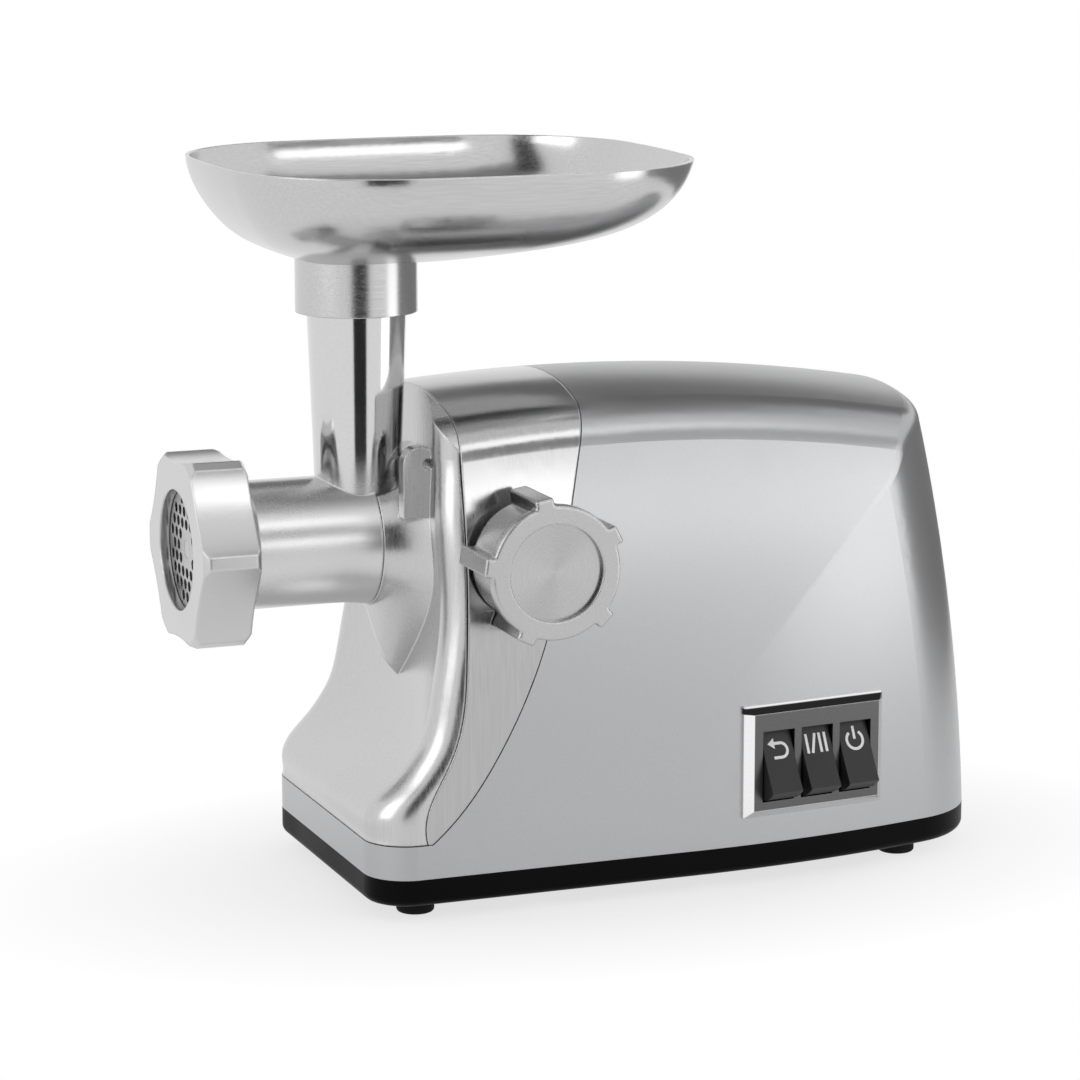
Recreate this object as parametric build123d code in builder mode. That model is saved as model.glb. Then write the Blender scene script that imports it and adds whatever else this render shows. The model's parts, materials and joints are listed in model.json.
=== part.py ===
from build123d import *
import os
from math import acos, asin, atan2, cos, degrees, hypot, pi, radians, sin, sqrt, tan

# Electric meat grinder, in millimetres, +Z up. The origin is on the table under the middle of the machine.
# Places along the machine are measured from the feed throat's axis at throat_x, and across it from middle_y.

# Body form
rear_x = 292.0
toe_x = -18.5
half_width = 78.5
crown_z = 230.0
knee_z = 72.0
side_bow_r = 634.0
crown_r = 170.0
shoulder_r = 24.0
spine_r = 860.0
spine_apex_x = 105.0
side_bend_x = 130.0
side_bend_r = 560.0
rear_bow_r = 330.0
rear_corner_r = 46.0
toe_corner_r = 20.0
rear_lean_r = 917.0
rear_lean_z = -29.0
rear_top_r = 10.0
plan_ease = 0.05
wall = 2.5
seam_gap = 0.35
panel_reveal = 0.3
toe_band_z = 34.4
base_top_z = 19.0

# Base and feet
base_bottom_z = 6.5
base_floor = 4.0
base_wall = 3.0
base_edge_r = 4.0
foot_r = 8.5
front_foot_x = 5.0
front_foot_y = 60.0
rear_foot_x = 248.0
rear_foot_y = 48.0

# Grinding head
axis_z = 158.4
tube_r = 28.8
barrel_r = 25.5
neck_end_x = 66.0
head_front_x = -79.5
thread_r = 36.0
thread_length = 17.0
flare_length = 8.0
rear_wall_x = 26.0
rear_wall = 8.0
neck_bore_r = 24.0
throat_top_z = 281.0
throat_top_r = 23.0
throat_foot_r = 19.5
throat_foot_z = 185.0
throat_wall = 2.8
slip_clearance = 0.3
running_clearance = 0.06
face_gap = 0.3

# Ring nut and cutting plate
nut_front_x = -85.0
nut_rear_x = -59.0
nut_r = 46.0
nut_lands = 6
nut_land_half = 2.6
nut_turn = 2.0
nut_hollow = 2.2
nut_opening_r = 27.0
nut_lip = 4.5
plate_r = 31.0
plate_thickness = 5.0
plate_hole_r = 2.35
plate_hole_pitch = 6.3
plate_hole_limit_r = 26.0
plate_hub_wall = 1.0

# Auger and blade
auger_r = 25.0
auger_core_r = 10.0
auger_pitch = 34.0
flight_root = 7.0
flight_tip = 4.0
flight_sink = 3.0
blade_r = 24.5
blade_thickness = 4.5
blade_square = 9.0
front_pin_r = 4.0
front_pin_length = 5.0
journal_r = 9.0
hex_flats = 13.0
hex_length = 22.0
auger_bush_wall = 3.5
journal_overrun = 2.0
flight_margin = 1.0
thrust_washer_thickness = 1.38
thrust_washer_lip = 2.0

# Feed tray
tray_rim_z = 328.5
tray_front_x = -68.0
tray_rear_x = 146.0
tray_half_width = 97.0
tray_wall = 1.5
tray_floor_z = 285.0
collar_r = 27.3
collar_bottom_z = 261.0
tray_hole_r = 20.5

# Head lock
knob_x = 53.5
knob_rear_y = 77.0
knob_front_y = 109.0
knob_lug_r = 33.0
knob_lug_half = 4.2
knob_lugs = 5
knob_turn = 28.0
knob_body_r = 27.0
knob_face_r = 29.6
knob_face_depth = 5.0
knob_edge_r = 1.2
knob_corner_r = 1.2
knob_disc_r = 21.5
knob_disc_depth = 2.5
knob_disc_thickness = 2.0
screw_in_knob = 10.0
lock_screw_r = 5.0
clamp_pad_r = 7.6
clamp_pad_length = 8.0

# Switches
switch_x = 191.5
switch_z = 58.0
bezel_width = 73.0
bezel_height = 52.0
bezel_recess_width = 63.0
bezel_recess_height = 45.0
rocker_width = 15.5
rocker_height = 29.4
rocker_pitch = 20.2
rocker_tilt = 26.0
rocker_travel = 24.0

# Drive train
stage_two_module = 1.5
output_teeth = 64
second_pinion_teeth = 14
stage_one_module = 1.25
first_wheel_teeth = 58
motor_pinion_teeth = 12
pressure_angle = 25.0
dedendum = 1.25
backlash = 0.2
intermediate_y = 30.0

# Front panel: height, front face, dish at the middle and corner radius of each level section
panel_levels = [
    (toe_band_z + seam_gap / 2, toe_x, 0.1, toe_corner_r),
    (42.0, toe_x, 0.1, toe_corner_r),
    (46.5, toe_x + 0.4, 0.1, toe_corner_r),
    (50.0, -16.6, 0.5, 19.5),
    (58.0, -9.8, 3.0, 17.0),
    (74.0, 2.6, 7.0, 14.0),
    (93.0, 7.8, 10.0, 13.0),
    (115.0, 10.5, 12.5, 13.0),
    (150.0, 12.0, 14.0, 13.0),
    (190.0, 12.0, 14.0, 13.0),
    (202.0, 12.0, 14.0, 13.0),
]
panel_brow_r = 16.0
boss_levels = [
    (2.0, 30.4, 127.0),
    (6.0, 31.3, 117.0),
    (11.0, 33.0, 103.0),
    (18.5, 36.7, 93.0),
    (31.0, 48.0, 84.0),
]
boss_tip_r = 3.0
neck_flare_x = -14.0
neck_flare_r = 30.3
throat_clearance = 1.5
ear_x = 17.0
ear_width = 15.5
ear_y = 29.0
ear_thickness = 7.0
ear_top_z = 204.0
ear_bottom_z = 172.0
ear_hole_r = 2.4
socket_wall = 5.0
socket_rear_x = 74.0
socket_flange_r = 47.0
socket_flange = 4.0
lock_boss_r = 13.0
lock_boss_y = 66.0
lock_bush_r = 8.5
lock_bush_length = 16.0
knob_seat_r = 12.0
cover_thickness = 4.0
case_wall = 3.0
case_rear_x = 122.0
case_clearance = 2.5
output_gear_x = 86.0
output_gear_width = 14.0
second_pinion_x = 84.0
second_pinion_width = 18.0
first_wheel_x = 104.0
first_wheel_width = 9.0
motor_pinion_x = 103.0
motor_pinion_width = 12.0
output_shaft_r = 10.0
output_head_r = 12.5
output_head_x = 44.0
output_head_end_x = 62.0
intermediate_shaft_r = 6.0
motor_shaft_r = 4.0
motor_shaft_end_x = 262.0
bush_wall = 4.0
front_bracket_x = 126.0
rear_bracket_x = 232.0
bracket_thickness = 6.0
bracket_half_width = 36.0
bearing_r = 11.0
bearing_width = 7.0
stator_x = 142.0
stator_length = 54.0
stator_half = 37.0
stator_bore_r = 24.0
air_gap = 0.6
commutator_x = 206.0
commutator_length = 20.0
commutator_r = 13.0
fan_x = 244.0
fan_width = 12.0
fan_r = 34.0
fan_blades = 11
brush_size = 8.0
brush_holder_size = 12.0
motor_bolt_r = 2.0
motor_bolt_offset = 31.5
fixed_fit = 0.02
screw_r = 2.0
screw_head_r = 3.8
screw_head = 2.5

throat_x = -(nut_front_x + rear_x) / 2
middle_y = (knob_front_y - tray_half_width) / 2


def side(y):
    return Plane(origin=(throat_x, middle_y + y, 0), x_dir=(1, 0, 0), z_dir=(0, -1, 0))


def across(x):
    return Plane(origin=(throat_x + x, middle_y, 0), x_dir=(0, 1, 0), z_dir=(1, 0, 0))


def level(z):
    return Plane(origin=(throat_x, middle_y, z))


def circles_meet(first, first_r, second, second_r):
    """The crossing of two circles that lies to the left of the line between their centres."""
    gap_x = second[0] - first[0]
    gap_y = second[1] - first[1]
    gap = hypot(gap_x, gap_y)
    along = (first_r**2 - second_r**2 + gap**2) / (2 * gap)
    beside = sqrt(first_r**2 - along**2)
    return (
        first[0] + (along * gap_x - beside * gap_y) / gap,
        first[1] + (along * gap_y + beside * gap_x) / gap,
    )


def spine_drop(x):
    return spine_r - sqrt(spine_r**2 - (x - spine_apex_x) ** 2)


def rear_at(z):
    """The rear end at height z: above the base it leans forward along an arc."""
    foot = sqrt(rear_lean_r**2 - (base_top_z - rear_lean_z) ** 2)
    rise = max(z, base_top_z) - rear_lean_z
    return rear_x - foot + sqrt(rear_lean_r**2 - rise**2)


def side_half_width(z):
    """Half the body's width at height z, below its shoulders."""
    rise = max(0.0, z - knee_z)
    return half_width - side_bow_r + sqrt(side_bow_r**2 - rise**2)


def arch_face(x, inset):
    """The body's section across the machine at x."""
    half = half_width - inset
    bow_r = side_bow_r - inset
    top_r = crown_r - inset
    side_centre = (half - bow_r, knee_z)
    crown_centre = (0, crown_z - spine_drop(x) - crown_r)
    corner = circles_meet(side_centre, bow_r, crown_centre, top_r)
    side_angle = degrees(atan2(corner[1] - knee_z, corner[0] - side_centre[0]))
    crown_angle = degrees(atan2(corner[1] - crown_centre[1], corner[0]))
    with BuildSketch(across(x)) as section:
        with BuildLine():
            Line((-half, 0), (half, 0))
            Line((half, 0), (half, knee_z))
            CenterArc(side_centre, bow_r, 0, side_angle)
            CenterArc(crown_centre, top_r, crown_angle, 180 - 2 * crown_angle)
            CenterArc((-side_centre[0], knee_z), bow_r, 180 - side_angle, side_angle)
            Line((-half, knee_z), (-half, 0))
        make_face()
        fillet(section.vertices().sort_by(Axis.Y)[-2:], shoulder_r - inset)
    return section.sketch


def plan_face(z, inset):
    """The body's outline seen from above, at height z."""
    toe = toe_x + inset
    half = half_width + plan_ease - inset
    bend_r = side_bend_r - inset
    bow_r = rear_bow_r - inset
    side_centre = (side_bend_x, half - bend_r)
    rear_centre = (rear_at(z) - rear_bow_r, 0)
    corner = circles_meet(rear_centre, bow_r, side_centre, bend_r)
    side_angle = degrees(atan2(corner[1] - side_centre[1], corner[0] - side_bend_x))
    rear_angle = degrees(atan2(corner[1], corner[0] - rear_centre[0]))
    with BuildSketch(level(z)) as outline:
        with BuildLine():
            Line((toe, half), (toe, -half))
            Line((toe, -half), (side_bend_x, -half))
            CenterArc((side_bend_x, -side_centre[1]), bend_r, -90, 90 - side_angle)
            CenterArc(rear_centre, bow_r, -rear_angle, 2 * rear_angle)
            CenterArc(side_centre, bend_r, side_angle, 90 - side_angle)
            Line((side_bend_x, half), (toe, half))
        make_face()
        fillet(outline.vertices().sort_by(Axis.X)[:2], toe_corner_r - inset)
        fillet(outline.vertices().sort_by(Axis.X)[-2:], rear_corner_r - inset)
    return outline.sketch


form_margin = 10.0
form_top_z = crown_z + form_margin
form_front_x = toe_x - 2 * form_margin
form_rear_x = rear_x + form_margin
arch_stations = [form_front_x, 30.0, spine_apex_x, 180.0, 250.0, form_rear_x]
plan_stations = [base_top_z, (base_top_z + form_top_z) / 2, form_top_z]


def at_rear_top(edge):
    """Whether an edge of the body form lies between its top and its rear."""
    middle = edge.center()
    return middle.X > throat_x + rear_x - 3 * shoulder_r and middle.Z > crown_z - 1.5 * shoulder_r


def body_form(inset):
    """The whole body as one block, its sides inset by a wall."""
    with BuildPart() as form:
        loft([arch_face(x, inset) for x in arch_stations])
        loft([plan_face(z, inset) for z in plan_stations], mode=Mode.INTERSECT)
        fillet(form.edges().filter_by(at_rear_top), rear_top_r - inset)
    return form.part


os.makedirs("parts", exist_ok=True)


def save(piece, name):
    piece.label = name
    export_step(piece, f"parts/{name}.step")


# Body shell, cut into housing, fascia and panel along two seams

outer_form = body_form(0)
inner_form = body_form(wall)
with BuildPart() as body_shell:
    add(outer_form)
    add(inner_form, mode=Mode.SUBTRACT)

far_up = crown_z + 3 * form_margin
seam_points = [
    (7.0, toe_band_z),
    (25.0, 52.5),
    (39.4, 74.0),
    (60.6, 119.5),
    (77.5, 187.0),
    (84.0, 214.6),
    (96.0, far_up),
]
trim_points = [
    (4.8, toe_band_z),
    (5.5, 50.0),
    (13.4, 66.0),
    (18.2, 76.6),
    (24.0, 114.5),
    (25.5, 150.0),
    (25.6, 199.0),
    (31.0, far_up),
]


def moved(points, dx, dz):
    return [(x + dx, z + dz) for x, z in points]


def seam_region(x_end, points):
    """Everything between a seam and x_end, seen from the side, above the toe band."""
    with BuildSketch(side(0)) as region:
        with BuildLine():
            Spline(*points)
            Polyline(points[-1], (x_end, points[-1][1]), (x_end, points[0][1]), points[0])
        make_face()
    return region.sketch


half_gap = seam_gap / 2
cut_half = half_width + form_margin
cut_overlap = 1.0

with BuildPart() as behind_seam:
    extrude(seam_region(form_rear_x, moved(seam_points, half_gap, -half_gap)), cut_half, both=True)
    with BuildSketch(side(0)):
        with BuildLine():
            Polyline(
                (form_front_x, base_top_z),
                (form_rear_x, base_top_z),
                (form_rear_x, toe_band_z - half_gap),
                (form_front_x, toe_band_z - half_gap),
                close=True,
            )
        make_face()
    extrude(amount=cut_half, both=True)

with BuildPart() as behind_trim:
    extrude(seam_region(form_rear_x, moved(trim_points, half_gap, half_gap)), cut_half, both=True)

with BuildPart() as ahead_of_seam:
    extrude(seam_region(form_front_x, moved(seam_points, -half_gap, half_gap)), cut_half, both=True)

# Switch bezel plane: along the wall's chord, u to the rear, v up, w outward
switch_wall_y = half_width - side_bend_r + sqrt(side_bend_r**2 - (switch_x - side_bend_x) ** 2)
switch_slant = degrees(atan2(switch_x - side_bend_x, side_bend_r))
switch_plane = Plane(
    origin=(throat_x + switch_x, middle_y - switch_wall_y, switch_z),
    x_dir=(cos(radians(switch_slant)), sin(radians(switch_slant)), 0),
    z_dir=(sin(radians(switch_slant)), -cos(radians(switch_slant)), 0),
)
bezel_fit = 0.3
bezel_cup_wall = 2.0
bezel_proud = 4.0
cup_width = bezel_recess_width + 2 * bezel_cup_wall
cup_height = bezel_recess_height + 2 * bezel_cup_wall

# Screw bosses that hold the base plate to the housing
boss_r = 6.0
boss_top_z = 48.0
boss_points = [(60.0, 71.5), (60.0, -71.5), (140.0, 71.5), (140.0, -71.5), (236.0, 61.0), (236.0, -61.0)]

# Cord gland at the rear
gland_y = 38.0
gland_z = 40.0
gland_r = 7.0
gland_bore_r = 3.6
gland_length = 23.0
gland_flange_r = 10.0
gland_flange = 4.0
gland_x = rear_at(gland_z) - gland_length

with BuildPart() as main_housing:
    add(body_shell.part)
    add(behind_seam.part, mode=Mode.INTERSECT)
    with BuildSketch(level(base_top_z)):
        with Locations(*boss_points):
            Circle(boss_r)
    extrude(amount=boss_top_z - base_top_z)
    add(outer_form, mode=Mode.INTERSECT)
    with BuildSketch(level(base_top_z)):
        with Locations(*boss_points):
            Circle(screw_r + fixed_fit)
    extrude(amount=boss_top_z - base_top_z - wall, mode=Mode.SUBTRACT)
    with BuildSketch(switch_plane):
        Rectangle(cup_width + 2 * bezel_fit, cup_height + 2 * bezel_fit)
    extrude(amount=half_width / 2, both=True, mode=Mode.SUBTRACT)
    with BuildSketch(across(gland_x)):
        with Locations((gland_y, gland_z)):
            Circle(gland_r + fixed_fit)
    extrude(amount=gland_length + form_margin, mode=Mode.SUBTRACT)
save(main_housing.part, "main_housing")

knob_seat_gap = 1.3
knob_seat_y = knob_rear_y - knob_seat_gap
lock_screw_gap = 1.0
with BuildPart() as front_fascia:
    add(body_shell.part)
    add(behind_trim.part, mode=Mode.INTERSECT)
    add(ahead_of_seam.part, mode=Mode.INTERSECT)
    with BuildSketch(side(-knob_seat_y)):
        with Locations((knob_x, axis_z)):
            Circle(knob_seat_r)
    extrude(amount=lock_boss_y + face_gap - knob_seat_y)
    with BuildSketch(side(0)):
        with Locations((knob_x, axis_z)):
            Circle(lock_screw_r + lock_screw_gap)
    extrude(amount=cut_half, mode=Mode.SUBTRACT)
save(front_fascia.part, "front_fascia")


def panel_face(z, front, dish, corner_r, inset):
    """A level section of the front panel: dished front, rounded corners, open behind."""
    half = side_half_width(z) - panel_reveal - inset
    back = seam_points[3][0]
    with BuildSketch(level(z)) as section:
        with BuildLine():
            ThreePointArc((front + inset, half), (front + inset + dish, 0), (front + inset, -half))
            Polyline((front + inset, -half), (back, -half), (back, half), (front + inset, half))
        make_face()
        fillet(section.vertices().sort_by(Axis.X)[:2], corner_r - inset)
    return section.sketch


def panel_block(inset):
    top_level = panel_levels[-1]
    with BuildPart() as block:
        sections = [panel_face(*place, inset) for place in panel_levels]
        loft(sections)
        top = panel_face(*top_level, inset)
        extrude(top, far_up - top_level[0], dir=(0, 0, 1))
    return block.part


brow_front = panel_levels[-1][1]
brow_top = (brow_front + panel_brow_r, crown_z - spine_drop(brow_front + panel_brow_r))
brow_foot = (brow_front, brow_top[1] - panel_brow_r)
with BuildPart() as brow_cut:
    with BuildSketch(side(0)):
        with BuildLine():
            Line((form_front_x, brow_foot[1]), brow_foot)
            TangentArc(brow_foot, brow_top, tangent=(0, 1))
            Polyline(
                brow_top,
                (brow_top[0], far_up),
                (form_front_x, far_up),
                (form_front_x, brow_foot[1]),
            )
        make_face()
    extrude(amount=cut_half, both=True)


def boss_face(x, radius, tip_z):
    with BuildSketch(across(x)) as drop:
        with Locations((0, axis_z)):
            Circle(radius)
        with Locations((0, tip_z + boss_tip_r)):
            Circle(boss_tip_r)
        make_hull()
    return drop.sketch


# Behind the trim seam only the middle of the panel's dish stays, inside the fascia
with BuildPart() as dish_room:
    add(inner_form.moved(Location((0, 0, -face_gap))))
    with BuildSketch(side(0)):
        with Locations(((form_front_x + form_rear_x) / 2, form_top_z / 2)):
            Rectangle(form_rear_x - form_front_x, form_top_z)
    extrude(amount=half_width / 2, both=True, mode=Mode.INTERSECT)

with BuildPart() as fascia_edge:
    extrude(seam_region(form_rear_x, moved(trim_points, -half_gap, half_gap)), cut_half, both=True)
    add(dish_room.part, mode=Mode.SUBTRACT)

with BuildPart() as panel_hollow:
    add(panel_block(wall).moved(Location((0, 0, -cut_overlap))))
    add(inner_form, mode=Mode.INTERSECT)

with BuildPart() as front_panel:
    add(panel_block(0))
    add(outer_form, mode=Mode.INTERSECT)
    add(brow_cut.part, mode=Mode.SUBTRACT)
    add(panel_hollow.part, mode=Mode.SUBTRACT)
    add(fascia_edge.part, mode=Mode.SUBTRACT)
    loft([boss_face(*place) for place in boss_levels])
    with BuildSketch(side(-ear_y)):
        with Locations((ear_x, ear_top_z - ear_width / 2)):
            Circle(ear_width / 2)
        with Locations((ear_x, (ear_bottom_z + ear_top_z - ear_width / 2) / 2)):
            Rectangle(ear_width, ear_top_z - ear_width / 2 - ear_bottom_z)
    extrude(amount=ear_thickness)
    with BuildSketch(side(-ear_y)):
        with Locations((ear_x + ear_width / 4, ear_top_z - ear_width / 2)):
            Circle(ear_hole_r)
    extrude(amount=ear_thickness, mode=Mode.SUBTRACT)
    with BuildSketch(across(form_front_x)):
        with Locations((0, axis_z)):
            Circle(tube_r + slip_clearance)
        with Locations((0, axis_z + boss_levels[-1][1])):
            Rectangle(2 * (throat_foot_r + throat_clearance), 2 * boss_levels[-1][1])
    extrude(amount=throat_foot_r + throat_clearance - form_front_x, mode=Mode.SUBTRACT)
    with BuildSketch(across(form_front_x)):
        with Locations((0, axis_z)):
            Circle(tube_r + slip_clearance)
    extrude(amount=2 * boss_levels[-1][0] - form_front_x, mode=Mode.SUBTRACT)
save(front_panel.part, "front_panel")

# Base plate, feet and the screws between base and housing

base_floor_z = base_bottom_z + base_floor
screw_sink = 1.0
screw_end_gap = 8.0
vent_slots = 7
vent_pitch = 9.0
vent_length = 46.0
vent_width = 4.0
vent_x = 190.0
board_x = 180.0
board_length = 70.0
board_width = 56.0
board_thickness = 1.6
board_z = 24.0
board_post_r = 3.0
board_inset = 4.0
board_posts = [
    (board_x + sx * (board_length / 2 - board_inset), sy * (board_width / 2 - board_inset))
    for sx in (-1, 1)
    for sy in (-1, 1)
]
foot_points = [
    (front_foot_x, front_foot_y),
    (front_foot_x, -front_foot_y),
    (rear_foot_x, rear_foot_y),
    (rear_foot_x, -rear_foot_y),
]

with BuildPart() as base_plate:
    extrude(plan_face(base_bottom_z, 0), base_top_z - base_bottom_z, dir=(0, 0, 1))
    fillet(base_plate.faces().sort_by(Axis.Z)[0].edges(), base_edge_r)
    extrude(plan_face(base_floor_z, base_wall), base_top_z - base_floor_z, dir=(0, 0, 1), mode=Mode.SUBTRACT)
    with BuildSketch(level(base_floor_z)):
        with Locations(*boss_points):
            Circle(boss_r)
    extrude(amount=base_top_z - base_floor_z)
    with BuildSketch(level(base_floor_z)):
        with Locations(*board_posts):
            Circle(board_post_r)
    extrude(amount=board_z - base_floor_z)
    with BuildSketch(level(base_bottom_z)):
        with Locations(*boss_points):
            Circle(screw_r + fixed_fit)
    extrude(amount=base_top_z - base_bottom_z, mode=Mode.SUBTRACT)
    with BuildSketch(level(base_bottom_z)):
        with Locations(*boss_points):
            Circle(screw_head_r + slip_clearance)
    extrude(amount=screw_sink + screw_head, mode=Mode.SUBTRACT)
    with BuildSketch(level(base_bottom_z)):
        with Locations((vent_x, 0)):
            with GridLocations(vent_pitch, 1, vent_slots, 1):
                SlotOverall(vent_length, vent_width, rotation=90)
    extrude(amount=base_floor, mode=Mode.SUBTRACT)
save(base_plate.part, "base_plate")

foot_edge_r = 1.5
with BuildPart() as rubber_feet:
    with BuildSketch(level(0)):
        with Locations(*foot_points):
            Circle(foot_r)
    extrude(amount=base_bottom_z)
    fillet(rubber_feet.faces().filter_by(Axis.Z).group_by(Axis.Z)[0].edges(), foot_edge_r)
save(rubber_feet.part, "rubber_feet")

base_screw_z = base_bottom_z + screw_sink
base_screw_end_z = boss_top_z - wall - screw_end_gap
with BuildPart() as base_screws:
    with BuildSketch(level(base_screw_z)):
        with Locations(*boss_points):
            Circle(screw_head_r)
    extrude(amount=screw_head)
    with BuildSketch(level(base_screw_z + screw_head)):
        with Locations(*boss_points):
            Circle(screw_r)
    extrude(amount=base_screw_end_z - base_screw_z - screw_head)
save(base_screws.part, "base_screws")

with BuildPart() as cord_gland:
    with BuildSketch(across(gland_x - gland_flange)):
        with Locations((gland_y, gland_z)):
            Circle(gland_flange_r)
    extrude(amount=gland_flange)
    with BuildSketch(across(gland_x)):
        with Locations((gland_y, gland_z)):
            Circle(gland_r)
    extrude(amount=gland_length)
    add(outer_form, mode=Mode.INTERSECT)
    with BuildSketch(across(gland_x)):
        with Locations((gland_y, gland_z)):
            Circle(gland_bore_r)
    extrude(amount=gland_length + form_margin, both=True, mode=Mode.SUBTRACT)
save(cord_gland.part, "cord_gland")

# Grinding head

plate_front_x = nut_front_x + nut_lip + face_gap
plate_rear_x = plate_front_x + plate_thickness
plate_seat_x = plate_rear_x + slip_clearance / 2
blade_front_x = plate_rear_x + slip_clearance / 2
blade_rear_x = blade_front_x + blade_thickness
auger_front_x = blade_rear_x
auger_rear_x = rear_wall_x - thrust_washer_thickness - 2 * running_clearance
journal_end_x = rear_wall_x + rear_wall + journal_overrun
thread_end_x = head_front_x + thread_length
auger_bush_r = journal_r + running_clearance + auger_bush_wall


def around_axis(*points):
    """A face between the head's axis and a run of points, each x and radius, to be turned about the axis."""
    with BuildSketch(side(0)) as profile:
        with BuildLine():
            Polyline(
                (points[0][0], axis_z),
                *[(x, axis_z + radius) for x, radius in points],
                (points[-1][0], axis_z),
                close=True,
            )
        make_face()
    return profile.sketch


def throat_radius(z):
    """The throat's outer radius at height z."""
    taper = (throat_top_r - throat_foot_r) / (throat_top_z - throat_foot_z)
    return throat_foot_r + (z - throat_foot_z) * taper


head_axis = Axis((throat_x, middle_y, axis_z), (1, 0, 0))
neck_flare_end_x = boss_levels[0][0] - face_gap

with BuildPart() as head_casting:
    revolve(
        around_axis(
            (head_front_x, thread_r),
            (thread_end_x, thread_r),
            (thread_end_x + flare_length, tube_r),
            (neck_end_x, tube_r),
        ),
        head_axis,
    )
    with BuildSketch(side(0)):
        with BuildLine():
            Line((neck_flare_x, axis_z + neck_bore_r), (neck_flare_x, axis_z + tube_r))
            TangentArc(
                (neck_flare_x, axis_z + tube_r), (neck_flare_end_x, axis_z + neck_flare_r), tangent=(1, 0)
            )
            Polyline(
                (neck_flare_end_x, axis_z + neck_flare_r),
                (neck_flare_end_x, axis_z + neck_bore_r),
                (neck_flare_x, axis_z + neck_bore_r),
            )
        make_face()
    revolve(axis=head_axis)
    with BuildSketch(level(axis_z)):
        Circle(throat_radius(axis_z))
    with BuildSketch(level(throat_top_z)):
        Circle(throat_top_r)
    loft()
    revolve(
        around_axis(
            (head_front_x, plate_r + slip_clearance),
            (plate_seat_x, plate_r + slip_clearance),
            (plate_seat_x, barrel_r),
            (rear_wall_x, barrel_r),
            (rear_wall_x, auger_bush_r + fixed_fit),
            (rear_wall_x + rear_wall, auger_bush_r + fixed_fit),
            (rear_wall_x + rear_wall, neck_bore_r),
            (neck_end_x, neck_bore_r),
        ),
        head_axis,
        mode=Mode.SUBTRACT,
    )
    with BuildSketch(level(axis_z)):
        Circle(throat_radius(axis_z) - throat_wall)
    with BuildSketch(level(throat_top_z)):
        Circle(throat_top_r - throat_wall)
    loft(mode=Mode.SUBTRACT)
save(head_casting.part, "head_casting")

with BuildPart() as auger_bush:
    with BuildSketch(across(rear_wall_x)):
        with Locations((0, axis_z)):
            Circle(auger_bush_r)
            Circle(journal_r + running_clearance, mode=Mode.SUBTRACT)
    extrude(amount=rear_wall)
save(auger_bush.part, "auger_bush")

# Auger, its thrust washer and the cross blade

with BuildPart() as auger:
    revolve(around_axis(
        (auger_front_x, auger_core_r),
        (auger_rear_x, auger_core_r),
        (auger_rear_x, journal_r),
        (journal_end_x, journal_r),
    ), head_axis)
    with BuildSketch(across(blade_front_x)):
        with Locations((0, axis_z)):
            Rectangle(blade_square, blade_square)
    extrude(amount=auger_front_x - blade_front_x)
    with BuildSketch(across(blade_front_x - front_pin_length)):
        with Locations((0, axis_z)):
            Circle(front_pin_r)
    extrude(amount=front_pin_length)
    with BuildSketch(across(journal_end_x)):
        with Locations((0, axis_z)):
            RegularPolygon(hex_flats / 2, 6, major_radius=False)
    extrude(amount=hex_length)
    with BuildLine() as flight_path:
        Helix(
            auger_pitch,
            auger_rear_x - auger_front_x - flight_root - 2 * flight_margin,
            auger_core_r,
            center=(throat_x + auger_front_x + flight_root / 2 + flight_margin, middle_y, axis_z),
            direction=(1, 0, 0),
        )
    with BuildSketch(Plane(origin=flight_path.line @ 0, x_dir=(0, 0, 1), z_dir=flight_path.line % 0)):
        with BuildLine():
            Polyline(
                (-flight_sink, -flight_root / 2),
                (auger_r - auger_core_r, -flight_tip / 2),
                (auger_r - auger_core_r, flight_tip / 2),
                (-flight_sink, flight_root / 2),
                close=True,
            )
        make_face()
    sweep(path=flight_path.line, is_frenet=True)
save(auger.part, "auger")

with BuildPart() as thrust_washer:
    with BuildSketch(across(auger_rear_x + running_clearance)):
        with Locations((0, axis_z)):
            Circle(auger_bush_r + thrust_washer_lip)
            Circle(journal_r + fixed_fit, mode=Mode.SUBTRACT)
    extrude(amount=thrust_washer_thickness)
save(thrust_washer.part, "thrust_washer")

blade_arms = 4
blade_arm_width = 10.0
blade_hub_r = 11.0
blade_lean = 6.0
with BuildPart() as cross_blade:
    with BuildSketch(across(blade_front_x)):
        with Locations((0, axis_z)):
            Circle(blade_hub_r)
            with PolarLocations(0, blade_arms, start_angle=blade_lean):
                SlotCenterPoint((blade_r / 2, 0), (blade_r - blade_arm_width / 2, 0), blade_arm_width)
            Rectangle(blade_square + 2 * fixed_fit, blade_square + 2 * fixed_fit, mode=Mode.SUBTRACT)
    extrude(amount=blade_thickness)
save(cross_blade.part, "cross_blade")

# Cutting plate: a hexagonal field of holes inside a plain rim

plate_rows = int(plate_hole_limit_r / (plate_hole_pitch * sqrt(3) / 2))
plate_columns = int(plate_hole_limit_r / plate_hole_pitch) + 1
plate_holes = [
    (plate_hole_pitch * (column + row % 2 / 2), plate_hole_pitch * row * sqrt(3) / 2)
    for row in range(-plate_rows, plate_rows + 1)
    for column in range(-plate_columns, plate_columns + 1)
]
plate_hub_r = front_pin_r + plate_hole_r + plate_hub_wall
plate_holes = [
    (u, v) for u, v in plate_holes if plate_hub_r < hypot(u, v) < plate_hole_limit_r - plate_hole_r
]
with BuildPart() as cutting_plate:
    with BuildSketch(across(plate_front_x)):
        with Locations((0, axis_z)):
            Circle(plate_r)
            Circle(front_pin_r + running_clearance, mode=Mode.SUBTRACT)
        with Locations(*[(u, axis_z + v) for u, v in plate_holes]):
            Circle(plate_hole_r, mode=Mode.SUBTRACT)
    extrude(amount=plate_thickness)
save(cutting_plate.part, "cutting_plate")

# Ring nut: narrow lands with wide hollows between them

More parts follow.
